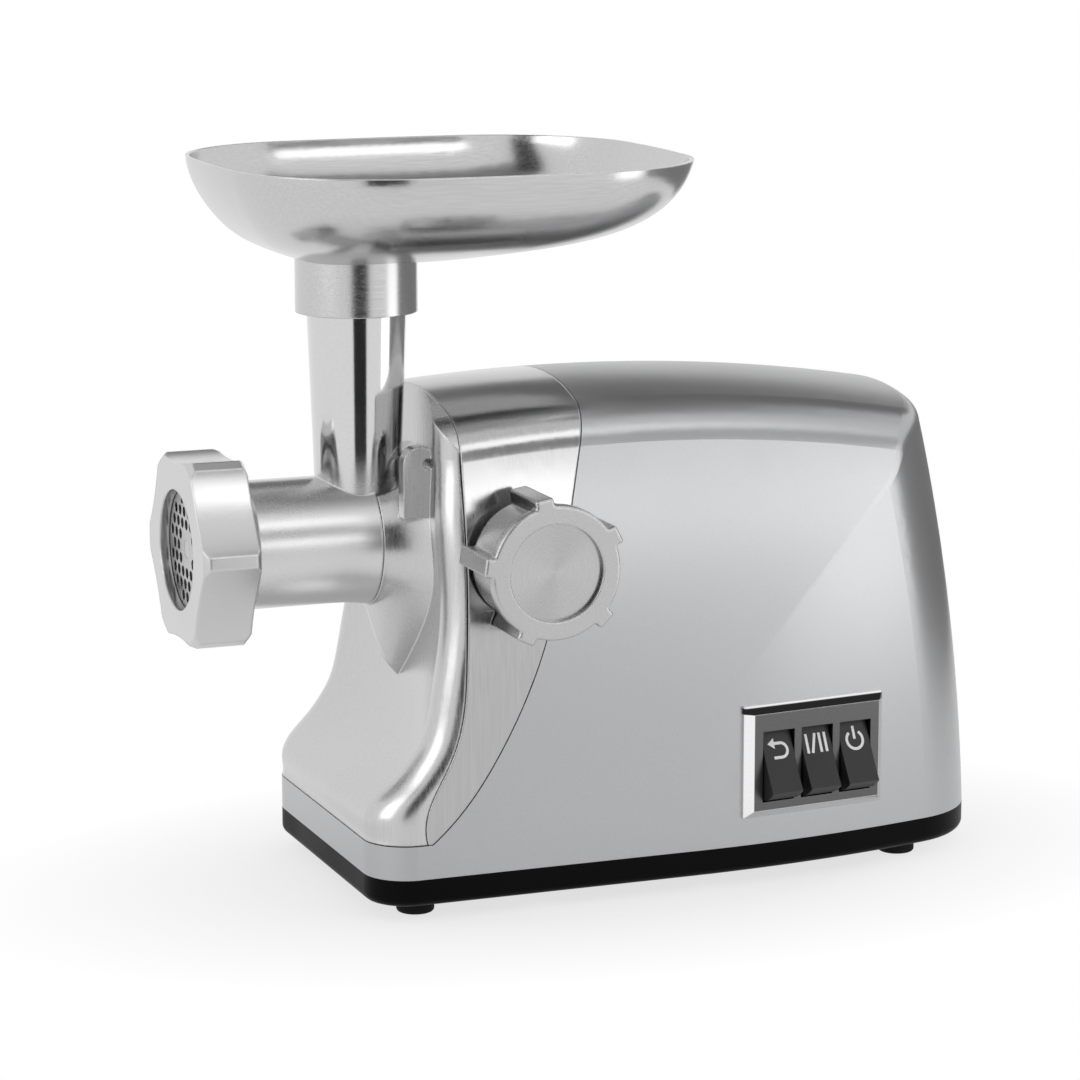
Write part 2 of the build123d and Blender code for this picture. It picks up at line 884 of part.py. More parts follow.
nut_nose_r = 43.5
nut_nose_length = 2.5
nut_chamfer = 2.0
nut_chord = nut_r * cos(pi / nut_lands) + nut_land_half * sin(pi / nut_lands)
nut_half_chord = nut_r * sin(pi / nut_lands) - nut_land_half * cos(pi / nut_lands)
nut_hollow_r = (nut_half_chord**2 + nut_hollow**2) / (2 * nut_hollow)
nut_hollow_centre = nut_chord - nut_hollow + nut_hollow_r

with BuildPart() as ring_nut:
    revolve(
        around_axis(
            (nut_front_x, nut_nose_r),
            (nut_front_x + nut_nose_length, nut_r),
            (nut_rear_x - nut_chamfer, nut_r),
            (nut_rear_x, nut_r - nut_chamfer),
        ),
        head_axis,
    )
    with BuildSketch(across(nut_front_x)):
        with Locations((0, axis_z)):
            with PolarLocations(nut_hollow_centre, nut_lands, start_angle=180 / nut_lands - nut_turn):
                Circle(nut_hollow_r)
    extrude(amount=nut_rear_x - nut_front_x, mode=Mode.SUBTRACT)
    revolve(
        around_axis(
            (nut_front_x - cut_overlap, nut_opening_r),
            (nut_front_x + nut_lip, nut_opening_r),
            (nut_front_x + nut_lip, thread_r + slip_clearance),
            (nut_rear_x + cut_overlap, thread_r + slip_clearance),
        ),
        head_axis,
        mode=Mode.SUBTRACT,
    )
save(ring_nut.part, "ring_nut")

# Feed tray: level sections from the collar up to the rim
# Each is drawn in from the rim's front, rear and sides by its own amounts

tray_bow = 0.92
tray_corner = 0.7
tray_steps = [
    (tray_floor_z, 42.0, 112.0, 68.0),
    (tray_floor_z + 2.2, 35.0, 84.0, 56.0),
    (tray_floor_z + 8.0, 21.5, 46.0, 34.0),
    (tray_floor_z + 17.0, 11.5, 20.0, 17.0),
    (tray_floor_z + 31.0, 3.0, 5.0, 4.5),
    (tray_rim_z, 0.0, 0.0, 0.0),
]


def tray_face(z, front, rear, half_wide):
    centre = (front + rear) / 2
    bow = (1 - tray_bow) * (rear - front) / 2
    beside = tray_bow * half_wide
    with BuildSketch(level(z)) as outline:
        with BuildLine():
            ThreePointArc((rear - bow, -beside), (rear, 0), (rear - bow, beside))
            ThreePointArc((rear - bow, beside), (centre, half_wide), (front + bow, beside))
            ThreePointArc((front + bow, beside), (front, 0), (front + bow, -beside))
            ThreePointArc((front + bow, -beside), (centre, -half_wide), (rear - bow, -beside))
        make_face()
        fillet(outline.vertices(), tray_corner * half_wide)
    return outline.sketch


def tray_bowl(inset, lift):
    return [
        tray_face(
            z + lift,
            tray_front_x + front_in + inset,
            tray_rear_x - rear_in - inset,
            tray_half_width - side_in - inset,
        )
        for z, front_in, rear_in, side_in in tray_steps
    ]


collar_bore_r = throat_top_r + slip_clearance
with BuildPart() as tray:
    loft(tray_bowl(0, 0))
    with BuildSketch(level(collar_bottom_z)):
        Circle(collar_r)
    extrude(amount=tray_floor_z + tray_wall - collar_bottom_z)
    loft(tray_bowl(tray_wall, tray_wall), mode=Mode.SUBTRACT)
    with BuildSketch(level(collar_bottom_z)):
        Circle(tray_hole_r)
    extrude(amount=tray_floor_z + tray_wall + cut_overlap - collar_bottom_z, mode=Mode.SUBTRACT)
    with BuildSketch(level(collar_bottom_z)):
        Circle(collar_bore_r)
    extrude(amount=throat_top_z + face_gap - collar_bottom_z, mode=Mode.SUBTRACT)
save(tray.part, "feed_tray")

# Head socket with the lock boss on its near side

socket_front_x = boss_levels[-1][0] + face_gap
socket_bore_r = tube_r + slip_clearance
lock_bush_end_y = lock_boss_y - lock_bush_length
clamp_pad_y = tube_r + slip_clearance
socket_bolts = 6
socket_bolt_turn = 30.0
socket_bolt_r = (socket_flange_r + socket_bore_r + socket_wall) / 2


def lock_disc(y, radius, length):
    """A round bar on the lock screw's axis, from y outward."""
    with BuildPart() as bar:
        with BuildSketch(side(-y)):
            with Locations((knob_x, axis_z)):
                Circle(radius)
        extrude(amount=length)
    return bar.part


with BuildPart() as head_socket:
    with BuildSketch(across(socket_front_x)):
        with Locations((0, axis_z)):
            Circle(socket_bore_r + socket_wall)
    extrude(amount=socket_rear_x - socket_front_x)
    with BuildSketch(across(socket_rear_x - socket_flange)):
        with Locations((0, axis_z)):
            Circle(socket_flange_r)
    extrude(amount=socket_flange)
    add(lock_disc(tube_r, lock_boss_r, lock_boss_y - tube_r))
    with BuildSketch(across(socket_front_x)):
        with Locations((0, axis_z)):
            Circle(socket_bore_r)
    extrude(amount=socket_rear_x - socket_front_x, mode=Mode.SUBTRACT)
    with BuildSketch(across(socket_front_x)):
        with Locations((0, axis_z)):
            with PolarLocations(socket_bolt_r, socket_bolts, start_angle=socket_bolt_turn):
                Circle(screw_r + fixed_fit)
    extrude(amount=socket_rear_x - socket_front_x, mode=Mode.SUBTRACT)
    add(lock_disc(0, clamp_pad_r + running_clearance, lock_bush_end_y), mode=Mode.SUBTRACT)
    add(lock_disc(lock_bush_end_y, lock_bush_r + fixed_fit, lock_bush_length), mode=Mode.SUBTRACT)
save(head_socket.part, "head_socket")

with BuildPart() as lock_bush:
    add(lock_disc(lock_bush_end_y, lock_bush_r, lock_bush_length))
    add(lock_disc(0, lock_screw_r + running_clearance, lock_boss_y), mode=Mode.SUBTRACT)
save(lock_bush.part, "lock_bush")

with BuildPart() as clamp_pad:
    add(lock_disc(clamp_pad_y, clamp_pad_r, clamp_pad_length))
save(clamp_pad.part, "clamp_pad")

with BuildPart() as lock_screw:
    screw_start_y = clamp_pad_y + clamp_pad_length + face_gap
    add(lock_disc(screw_start_y, lock_screw_r, knob_rear_y + screw_in_knob - screw_start_y))
save(lock_screw.part, "lock_screw")

knob_disc_y = knob_front_y - knob_disc_depth - knob_disc_thickness


def knob_face(y, base_r):
    """The knob's outline with its lugs, at y."""
    with BuildSketch(side(-y)) as outline:
        with Locations((knob_x, axis_z)):
            Circle(base_r)
            with PolarLocations(0, knob_lugs, start_angle=knob_turn):
                with Locations((knob_lug_r / 2, 0)):
                    Rectangle(knob_lug_r, 2 * knob_lug_half)
        fillet(outline.vertices(), knob_corner_r)
    return outline.sketch


with BuildPart() as lock_knob:
    extrude(knob_face(knob_front_y - knob_face_depth, knob_face_r), knob_face_depth, dir=(0, -1, 0))
    fillet(lock_knob.faces().sort_by(Axis.Y)[0].edges(), knob_edge_r)
    extrude(knob_face(knob_rear_y, knob_body_r), knob_front_y - knob_face_depth - knob_rear_y, dir=(0, -1, 0))
    add(lock_disc(knob_disc_y, knob_disc_r, knob_front_y - knob_disc_y), mode=Mode.SUBTRACT)
    add(lock_disc(knob_rear_y, lock_screw_r + fixed_fit, screw_in_knob + fixed_fit), mode=Mode.SUBTRACT)
save(lock_knob.part, "lock_knob")

with BuildPart() as knob_disc:
    add(lock_disc(knob_disc_y, knob_disc_r - fixed_fit, knob_disc_thickness))
save(knob_disc.part, "knob_disc")

# Switch bezel and its three rockers, on the switch plane

rocker_pivot_v = -2.2
rocker_pivot_w = 1.0
rocker_rise = 6.1
rocker_gap = 0.5
rocker_end_gap = 0.4
recess_floor_w = -8.5
rocker_pin_r = 1.5
cup_floor_w = recess_floor_w - bezel_cup_wall
switch_body_depth = 15.0
switch_names = ["reverse", "speed", "power"]
switch_places = [-rocker_pitch, 0.0, rocker_pitch]
bezel_edge = 3.6
bezel_panel = 2.0
panel_back_w = bezel_proud - bezel_panel
rib_thickness = 2.4
rib_height = 9.0
rib_places = [rocker_pitch * (n - 1.5) for n in range(4)]
rocker_r = hypot(rocker_height / 2, rocker_rise)
window_height = 2 * (rocker_r + rocker_end_gap)
pin_length = 3 * rocker_pitch + rib_thickness
pin_start = switch_plane.from_local_coords(Vector(-pin_length / 2, rocker_pivot_v, rocker_pivot_w))

with BuildPart() as switch_bezel:
    with BuildSketch(switch_plane.offset(-bezel_edge)):
        Rectangle(bezel_width, bezel_height)
    extrude(amount=bezel_proud + bezel_edge)
    bezel_face = switch_bezel.faces().sort_by(Axis(switch_plane.origin, switch_plane.z_dir))[-1]
    chamfer(bezel_face.edges(), bezel_edge)
    add(outer_form, mode=Mode.SUBTRACT)
    with BuildSketch(switch_plane.offset(cup_floor_w)):
        Rectangle(cup_width, cup_height)
    extrude(amount=bezel_proud - bezel_edge - cup_floor_w)
    with BuildSketch(switch_plane.offset(recess_floor_w)):
        Rectangle(bezel_recess_width, bezel_recess_height)
    extrude(amount=panel_back_w - recess_floor_w, mode=Mode.SUBTRACT)
    with BuildSketch(switch_plane.offset(panel_back_w)):
        with Locations(*[(u, rocker_pivot_v) for u in switch_places]):
            Rectangle(rocker_width + 2 * rocker_gap, window_height)
    extrude(amount=bezel_panel, mode=Mode.SUBTRACT)
    with BuildSketch(switch_plane.offset(cup_floor_w)):
        with Locations(*[(u, 0) for u in switch_places]):
            Rectangle(rocker_width / 2, rocker_height / 2)
    extrude(amount=bezel_cup_wall, mode=Mode.SUBTRACT)
    with BuildSketch(switch_plane.offset(recess_floor_w)):
        with Locations(*[(u, rocker_pivot_v) for u in rib_places]):
            Rectangle(rib_thickness, rib_height)
    extrude(amount=panel_back_w - recess_floor_w)
    with BuildSketch(Plane(pin_start, x_dir=(0, 0, 1), z_dir=switch_plane.x_dir)):
        Circle(rocker_pin_r + fixed_fit)
    extrude(amount=pin_length, mode=Mode.SUBTRACT)
save(switch_bezel.part, "switch_bezel")


with BuildPart() as rocker_pin:
    with BuildSketch(Plane(pin_start, x_dir=(0, 0, 1), z_dir=switch_plane.x_dir)):
        Circle(rocker_pin_r)
    extrude(amount=pin_length)
save(rocker_pin.part, "rocker_pin")

rocker_back_half = 5.0
rocker_back = 3.5
rocker_dish = 0.6
skirt_depth = 1.0
skirt_dip = degrees(asin(skirt_depth / rocker_r))
rocker_corner = degrees(atan2(rocker_rise, rocker_height / 2))
low_skirt = 180 + rocker_tilt + skirt_dip
high_skirt = rocker_tilt - rocker_travel - skirt_dip


def rocker_plane(u):
    """The plane of a rocker's profile at its pivot: along the tilted face, then outward."""
    tilt = radians(rocker_tilt)
    return Plane(
        origin=switch_plane.from_local_coords(Vector(u, rocker_pivot_v, rocker_pivot_w)),
        x_dir=switch_plane.y_dir * cos(tilt) - switch_plane.z_dir * sin(tilt),
        z_dir=switch_plane.x_dir,
    )


def on_rocker(angle):
    return (rocker_r * cos(radians(angle)), rocker_r * sin(radians(angle)))


for switch_name, switch_u in zip(switch_names, switch_places):
    with BuildPart() as rocker:
        with BuildSketch(rocker_plane(switch_u - rocker_width / 2)):
            with BuildLine():
                ThreePointArc(
                    on_rocker(180 - rocker_corner), (0, rocker_rise - rocker_dish), on_rocker(rocker_corner)
                )
                CenterArc((0, 0), rocker_r, rocker_corner, high_skirt - rocker_corner)
                Polyline(
                    on_rocker(high_skirt),
                    (rocker_back_half, -rocker_back),
                    (-rocker_back_half, -rocker_back),
                    on_rocker(low_skirt),
                )
                CenterArc((0, 0), rocker_r, low_skirt, 180 - rocker_corner - low_skirt)
            make_face()
            Circle(rocker_pin_r + running_clearance, mode=Mode.SUBTRACT)
        extrude(amount=rocker_width)
    save(rocker.part, f"{switch_name}_rocker")

switch_body_width = 13.0
switch_body_height = 26.0
with BuildPart() as switch_bodies:
    with BuildSketch(switch_plane.offset(cup_floor_w)):
        with Locations(*[(u, 0) for u in switch_places]):
            Rectangle(switch_body_width, switch_body_height)
    extrude(amount=-switch_body_depth)
save(switch_bodies.part, "switch_bodies")

# Gear train: motor pinion, intermediate wheel and pinion, output gear

second_distance = stage_two_module * (output_teeth + second_pinion_teeth) / 2
first_distance = stage_one_module * (first_wheel_teeth + motor_pinion_teeth) / 2
intermediate_z = axis_z - sqrt(second_distance**2 - intermediate_y**2)
motor_z = intermediate_z - sqrt(first_distance**2 - intermediate_y**2)
output_centre = (0.0, axis_z)
intermediate_centre = (intermediate_y, intermediate_z)
motor_centre = (0.0, motor_z)
second_line = atan2(intermediate_z - axis_z, intermediate_y)
first_line = atan2(motor_z - intermediate_z, -intermediate_y)


def tip_radius(module, teeth):
    return module * teeth / 2 + module


def gear_face(x, centre, module, teeth, bore_r, turn):
    """A spur gear's involute outline, with one tooth pointing along turn."""
    pitch_r = module * teeth / 2
    base_r = pitch_r * cos(radians(pressure_angle))
    root_r = pitch_r - dedendum * module
    tip_r = tip_radius(module, teeth)
    flank_r = max(root_r, base_r)
    middle_r = (flank_r + tip_r) / 2

    def involute(radius):
        angle = acos(min(1.0, base_r / radius))
        return tan(angle) - angle

    def half_angle(radius):
        thickness = pi * module / 2 - backlash
        return thickness / (2 * pitch_r) + involute(pitch_r) - involute(radius)

    def at(radius, angle):
        return (centre[0] + radius * cos(angle), centre[1] + radius * sin(angle))

    with BuildSketch(across(x)) as outline:
        with BuildLine():
            for tooth in range(teeth):
                middle = turn + 2 * pi * tooth / teeth
                rise = middle - half_angle(flank_r)
                fall = middle + half_angle(flank_r)
                following = rise + 2 * pi / teeth
                ThreePointArc(
                    at(flank_r, rise),
                    at(middle_r, middle - half_angle(middle_r)),
                    at(tip_r, middle - half_angle(tip_r)),
                )
                Line(at(tip_r, middle - half_angle(tip_r)), at(tip_r, middle + half_angle(tip_r)))
                ThreePointArc(
                    at(tip_r, middle + half_angle(tip_r)),
                    at(middle_r, middle + half_angle(middle_r)),
                    at(flank_r, fall),
                )
                if flank_r > root_r:
                    Polyline(
                        at(flank_r, fall),
                        at(root_r, fall),
                        at(root_r, following),
                        at(flank_r, following),
                    )
                else:
                    Line(at(flank_r, fall), at(flank_r, following))
        make_face()
        with Locations(centre):
            Circle(bore_r, mode=Mode.SUBTRACT)
    return outline.sketch


def gear(name, x, width, centre, module, teeth, bore_r, turn):
    with BuildPart() as wheel:
        extrude(gear_face(x, centre, module, teeth, bore_r, turn), width, dir=(1, 0, 0))
    save(wheel.part, name)


gear(
    "output_gear",
    output_gear_x,
    output_gear_width,
    output_centre,
    stage_two_module,
    output_teeth,
    output_shaft_r + fixed_fit,
    second_line,
)
gear(
    "intermediate_pinion",
    second_pinion_x,
    second_pinion_width,
    intermediate_centre,
    stage_two_module,
    second_pinion_teeth,
    intermediate_shaft_r + fixed_fit,
    second_line + pi + pi / second_pinion_teeth,
)
gear(
    "intermediate_wheel",
    first_wheel_x,
    first_wheel_width,
    intermediate_centre,
    stage_one_module,
    first_wheel_teeth,
    intermediate_shaft_r + fixed_fit,
    first_line,
)
gear(
    "motor_pinion",
    motor_pinion_x,
    motor_pinion_width,
    motor_centre,
    stage_one_module,
    motor_pinion_teeth,
    motor_shaft_r + fixed_fit,
    first_line + pi + pi / motor_pinion_teeth,
)


def rod(x, centre, radius, length, bore_r=0.0):
    """A round bar or sleeve along the machine, from x."""
    with BuildPart() as bar:
        with BuildSketch(across(x)):
            with Locations(centre):
                Circle(radius)
                if bore_r:
                    Circle(bore_r, mode=Mode.SUBTRACT)
        extrude(amount=length)
    return bar.part


# Gearbox cover and case

cover_rear_x = socket_rear_x + cover_thickness
case_screw_r = 5.0
case_screws = [
    (output_centre, tip_radius(stage_two_module, output_teeth), 35.0),
    (output_centre, tip_radius(stage_two_module, output_teeth), 145.0),
    (output_centre, tip_radius(stage_two_module, output_teeth), 200.0),
    (intermediate_centre, tip_radius(stage_one_module, first_wheel_teeth), -40.0),
    (motor_centre, tip_radius(stage_one_module, motor_pinion_teeth), 215.0),
]
case_screw_points = [
    (
        centre[0] + (radius + case_clearance + case_screw_r) * cos(radians(angle)),
        centre[1] + (radius + case_clearance + case_screw_r) * sin(radians(angle)),
    )
    for centre, radius, angle in case_screws
]


def case_outline(x, grow):
    """The outline round the three gear centres, grown by a clearance and a wall."""
    with BuildSketch(across(x)) as outline:
        with Locations(output_centre):
            Circle(tip_radius(stage_two_module, output_teeth) + grow)
        with Locations(intermediate_centre):
            Circle(tip_radius(stage_one_module, first_wheel_teeth) + grow)
        with Locations(motor_centre):
            Circle(tip_radius(stage_one_module, motor_pinion_teeth) + grow)
        make_hull()
    return outline.sketch


output_bore_r = output_shaft_r + running_clearance
output_bush_r = output_bore_r + bush_wall
intermediate_bore_r = intermediate_shaft_r + running_clearance
intermediate_bush_r = intermediate_bore_r + bush_wall
bush_seats = [(output_centre, output_bush_r), (intermediate_centre, intermediate_bush_r)]
bush_length = 8.0
front_bush_x = socket_rear_x
rear_bush_x = case_rear_x - bush_length
pinion_hole_gap = 1.5
pinion_hole_r = tip_radius(stage_one_module, motor_pinion_teeth) + pinion_hole_gap

with BuildPart() as gearbox_cover:
    extrude(case_outline(socket_rear_x, case_clearance + case_wall), cover_thickness, dir=(1, 0, 0))
    for point in case_screw_points:
        add(rod(socket_rear_x, point, case_screw_r, cover_thickness))
    for centre, radius in bush_seats:
        add(rod(front_bush_x, centre, radius + case_wall, bush_length))
        add(rod(front_bush_x, centre, radius + fixed_fit, bush_length), mode=Mode.SUBTRACT)
    for point in case_screw_points:
        add(rod(socket_rear_x, point, screw_r + fixed_fit, cover_thickness), mode=Mode.SUBTRACT)
    with BuildSketch(across(socket_rear_x)):
        with Locations(output_centre):
            with PolarLocations(socket_bolt_r, socket_bolts, start_angle=socket_bolt_turn):
                Circle(screw_r + fixed_fit)
    extrude(amount=cover_thickness, mode=Mode.SUBTRACT)
save(gearbox_cover.part, "gearbox_cover")

pedestal_x = 100.0
pedestal_half = 22.0
with BuildPart() as gearbox_case:
    extrude(case_outline(cover_rear_x, case_clearance + case_wall), case_rear_x - cover_rear_x, dir=(1, 0, 0))
    for point in case_screw_points:
        add(rod(cover_rear_x, point, case_screw_r, case_rear_x - cover_rear_x))
    with BuildSketch(across(pedestal_x)):
        with Locations((0, (base_floor_z + motor_z) / 2)):
            Rectangle(2 * pedestal_half, motor_z - base_floor_z)
    extrude(amount=case_rear_x - pedestal_x)
    extrude(
        case_outline(cover_rear_x, case_clearance),
        case_rear_x - case_wall - cover_rear_x,
        dir=(1, 0, 0),
        mode=Mode.SUBTRACT,
    )
    for centre, radius in bush_seats:
        add(rod(rear_bush_x, centre, radius + case_wall, bush_length))
        add(rod(rear_bush_x, centre, radius + fixed_fit, bush_length), mode=Mode.SUBTRACT)
    add(rod(rear_bush_x, motor_centre, pinion_hole_r, bush_length), mode=Mode.SUBTRACT)
    for point in case_screw_points:
        add(rod(cover_rear_x, point, screw_r + fixed_fit, case_rear_x - cover_rear_x), mode=Mode.SUBTRACT)
save(gearbox_case.part, "gearbox_case")

case_screw_length = 30.0
with BuildPart() as gearbox_screws:
    for point in case_screw_points:
        add(rod(socket_rear_x - screw_head, point, screw_head_r, screw_head))
        add(rod(socket_rear_x, point, screw_r, case_screw_length))
save(gearbox_screws.part, "gearbox_screws")

socket_screw_length = socket_flange + cover_thickness
with BuildPart() as socket_screws:
    with BuildSketch(across(socket_rear_x - socket_flange - screw_head)):
        with Locations(output_centre):
            with PolarLocations(socket_bolt_r, socket_bolts, start_angle=socket_bolt_turn):
                Circle(screw_head_r)
    extrude(amount=screw_head)
    with BuildSketch(across(socket_rear_x - socket_flange)):
        with Locations(output_centre):
            with PolarLocations(socket_bolt_r, socket_bolts, start_angle=socket_bolt_turn):
                Circle(screw_r)
    extrude(amount=socket_screw_length)
save(socket_screws.part, "socket_screws")

with BuildPart() as output_bushes:
    for bush_x in (front_bush_x, rear_bush_x):
        add(rod(bush_x, output_centre, output_bush_r, bush_length, output_bore_r))
save(output_bushes.part, "output_bushes")

with BuildPart() as intermediate_bushes:
    for bush_x in (front_bush_x, rear_bush_x):
        add(rod(bush_x, intermediate_centre, intermediate_bush_r, bush_length, intermediate_bore_r))
save(intermediate_bushes.part, "intermediate_bushes")

hex_fit = 0.25
hex_depth = 16.0
with BuildPart() as output_shaft:
    add(rod(output_head_x, output_centre, output_head_r, output_head_end_x - output_head_x))
    add(rod(output_head_end_x, output_centre, output_shaft_r, case_rear_x - output_head_end_x))
    with BuildSketch(across(output_head_x)):
        with Locations(output_centre):
            RegularPolygon(hex_flats / 2 + hex_fit, 6, major_radius=False)
    extrude(amount=hex_depth, mode=Mode.SUBTRACT)
save(output_shaft.part, "output_shaft")

intermediate_length = case_rear_x - front_bush_x - 2 * face_gap
with BuildPart() as intermediate_shaft:
    add(rod(front_bush_x + face_gap, intermediate_centre, intermediate_shaft_r, intermediate_length))
save(intermediate_shaft.part, "intermediate_shaft")

# Motor: brackets, stator with its field coils, armature, commutator, brushes and fan

stator_corner_r = 10.0
coil_y = 22.0
coil_depth = 9.0
coil_half_height = 29.0
coil_inner_half = 18.5
coil_overhang = 8.0
coil_fit = 0.4
motor_bolt_points = [
    (sy * motor_bolt_offset, motor_z + sz * motor_bolt_offset) for sy in (-1, 1) for sz in (-1, 1)
]
bracket_margin = 2.0
bracket_top_z = motor_z + bracket_half_width + bracket_margin
bracket_corner_r = 8.0


def motor_bracket(name, x):
    with BuildPart() as bracket:
        with BuildSketch(across(x)) as plate:
            with Locations((0, (base_floor_z + bracket_top_z) / 2)):
                Rectangle(2 * bracket_half_width, bracket_top_z - base_floor_z)
            fillet(plate.vertices().sort_by(Axis.Y)[-2:], bracket_corner_r)
            with Locations(motor_centre):
                Circle(bearing_r + fixed_fit, mode=Mode.SUBTRACT)
            with Locations(*motor_bolt_points):
                Circle(motor_bolt_r + fixed_fit, mode=Mode.SUBTRACT)
        extrude(amount=bracket_thickness)
    save(bracket.part, name)


motor_bracket("front_motor_bracket", front_bracket_x)
motor_bracket("rear_motor_bracket", rear_bracket_x)

for bearing_name, bracket_x in (("front", front_bracket_x), ("rear", rear_bracket_x)):
    bearing_x = bracket_x + (bracket_thickness - bearing_width) / 2
    bearing = rod(bearing_x, motor_centre, bearing_r, bearing_width, motor_shaft_r + running_clearance)
    save(bearing, f"{bearing_name}_motor_bearing")

with BuildPart() as stator_core:
    with BuildSketch(across(stator_x)):
        with Locations(motor_centre):
            RectangleRounded(2 * stator_half, 2 * stator_half, stator_corner_r)
            Circle(stator_bore_r, mode=Mode.SUBTRACT)
        window_z = (coil_inner_half + coil_half_height) / 2
        with Locations(*[(sy * coil_y, motor_z + sz * window_z) for sy in (-1, 1) for sz in (-1, 1)]):
            Rectangle(
                coil_depth + 2 * coil_fit,
                coil_half_height - coil_inner_half + 2 * coil_fit,
                mode=Mode.SUBTRACT,
            )
        with Locations(*motor_bolt_points):
            Circle(motor_bolt_r + fixed_fit, mode=Mode.SUBTRACT)
    extrude(amount=stator_length)
save(stator_core.part, "stator_core")

with BuildPart() as field_coils:
    for sy in (-1, 1):
        with BuildSketch(side(sy * coil_y + coil_depth / 2)):
            with Locations((stator_x + stator_length / 2, motor_z)):
                Rectangle(stator_length + 2 * coil_overhang, 2 * coil_half_height)
                Rectangle(stator_length + 2 * coil_fit, 2 * coil_inner_half, mode=Mode.SUBTRACT)
        extrude(amount=coil_depth)
save(field_coils.part, "field_coils")

with BuildPart() as motor_bolts:
    for point in motor_bolt_points:
        add(rod(front_bracket_x - screw_head, point, screw_head_r, screw_head))
        add(rod(front_bracket_x, point, motor_bolt_r, rear_bracket_x + bracket_thickness - front_bracket_x))
save(motor_bolts.part, "motor_bolts")

armature_inset = 1.0
armature_slots = 12
armature_slot_r = 2.2
winding_r = 16.5
winding_length = 8.0
armature_r = stator_bore_r - air_gap
armature_x = stator_x + armature_inset
armature_length = stator_length - 2 * armature_inset
armature_bore_r = motor_shaft_r + fixed_fit

with BuildPart() as armature_shaft:
    add(rod(motor_pinion_x, motor_centre, motor_shaft_r, motor_shaft_end_x - motor_pinion_x))
save(armature_shaft.part, "armature_shaft")

with BuildPart() as armature_core:
    with BuildSketch(across(armature_x)):
        with Locations(motor_centre):
            Circle(armature_r)
            Circle(armature_bore_r, mode=Mode.SUBTRACT)
            with PolarLocations(armature_r - armature_slot_r / 2, armature_slots):
                Circle(armature_slot_r, mode=Mode.SUBTRACT)
    extrude(amount=armature_length)
save(armature_core.part, "armature_core")

with BuildPart() as armature_windings:
    for winding_x in (armature_x - winding_length, armature_x + armature_length):
        add(rod(winding_x, motor_centre, winding_r, winding_length, armature_bore_r))
save(armature_windings.part, "armature_windings")

commutator_bars = 24
commutator_gap = 0.6
commutator_groove = 1.0
with BuildPart() as commutator:
    with BuildSketch(across(commutator_x)):
        with Locations(motor_centre):
            Circle(commutator_r)
            with PolarLocations(commutator_r, commutator_bars):
                Rectangle(2 * commutator_groove, commutator_gap, mode=Mode.SUBTRACT)
            Circle(armature_bore_r, mode=Mode.SUBTRACT)
    extrude(amount=commutator_length)
save(commutator.part, "commutator")

fan_hub_r = 10.0
fan_plate = 2.0
fan_blade_inset = 1.0
fan_blade_thickness = 1.6
with BuildPart() as cooling_fan:
    add(rod(fan_x, motor_centre, fan_r, fan_plate))
    add(rod(fan_x, motor_centre, fan_hub_r, fan_width))
    with BuildSketch(across(fan_x)):
        with Locations(motor_centre):
            with PolarLocations((fan_hub_r + fan_r) / 2 - fan_blade_inset, fan_blades):
                Rectangle(fan_r - fan_hub_r, fan_blade_thickness)
    extrude(amount=fan_width)
    add(rod(fan_x, motor_centre, armature_bore_r, fan_width), mode=Mode.SUBTRACT)
save(cooling_fan.part, "cooling_fan")

brush_x = commutator_x + commutator_length / 2
brush_gap = 0.4
brush_length = 18.0
holder_gap = 4.0
holder_start = commutator_r + holder_gap
holder_tail = rear_bracket_x - brush_x - brush_holder_size / 2
holder_length = 22.0


def brush_bar(start, size, length, sy, tail=0.0):
    """A square bar across the commutator, on one side of it."""
    with BuildPart() as bar:
        with BuildSketch(Plane(origin=(0, middle_y + sy * start, 0), x_dir=(1, 0, 0), z_dir=(0, sy, 0))):
            with Locations((throat_x + brush_x + tail / 2, -sy * motor_z)):
                Rectangle(size + tail, size)
        extrude(amount=length)
    return bar.part


with BuildPart() as carbon_brushes:
    for sy in (-1, 1):
        add(brush_bar(commutator_r + brush_gap, brush_size, brush_length, sy))
save(carbon_brushes.part, "carbon_brushes")


with BuildPart() as brush_holders:
    for sy in (-1, 1):
        add(brush_bar(holder_start, brush_holder_size, holder_length, sy, holder_tail))
        slot = brush_bar(holder_start - cut_overlap, brush_size + 2 * fixed_fit, holder_length, sy)
        add(slot, mode=Mode.SUBTRACT)
save(brush_holders.part, "brush_holders")

# Control board on its posts in the base

capacitor_r = 5.0
capacitor_length = 11.0
with BuildPart() as control_board:
    with BuildSketch(level(board_z)):
        with Locations((board_x, 0)):
            Rectangle(board_length, board_width)
    extrude(amount=board_thickness)
save(control_board.part, "control_board")

board_parts = [(-22.0, -16.0), (-8.0, -16.0), (6.0, -16.0)]
with BuildPart() as board_capacitors:
    with BuildSketch(level(board_z + board_thickness)):
        with Locations(*[(board_x + u, v) for u, v in board_parts]):
            Circle(capacitor_r)
    extrude(amount=capacitor_length)
save(board_capacitors.part, "board_capacitors")
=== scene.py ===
import json
from math import cos, hypot, radians, sin, sqrt

import bmesh
import bpy
from mathutils import Matrix, Vector


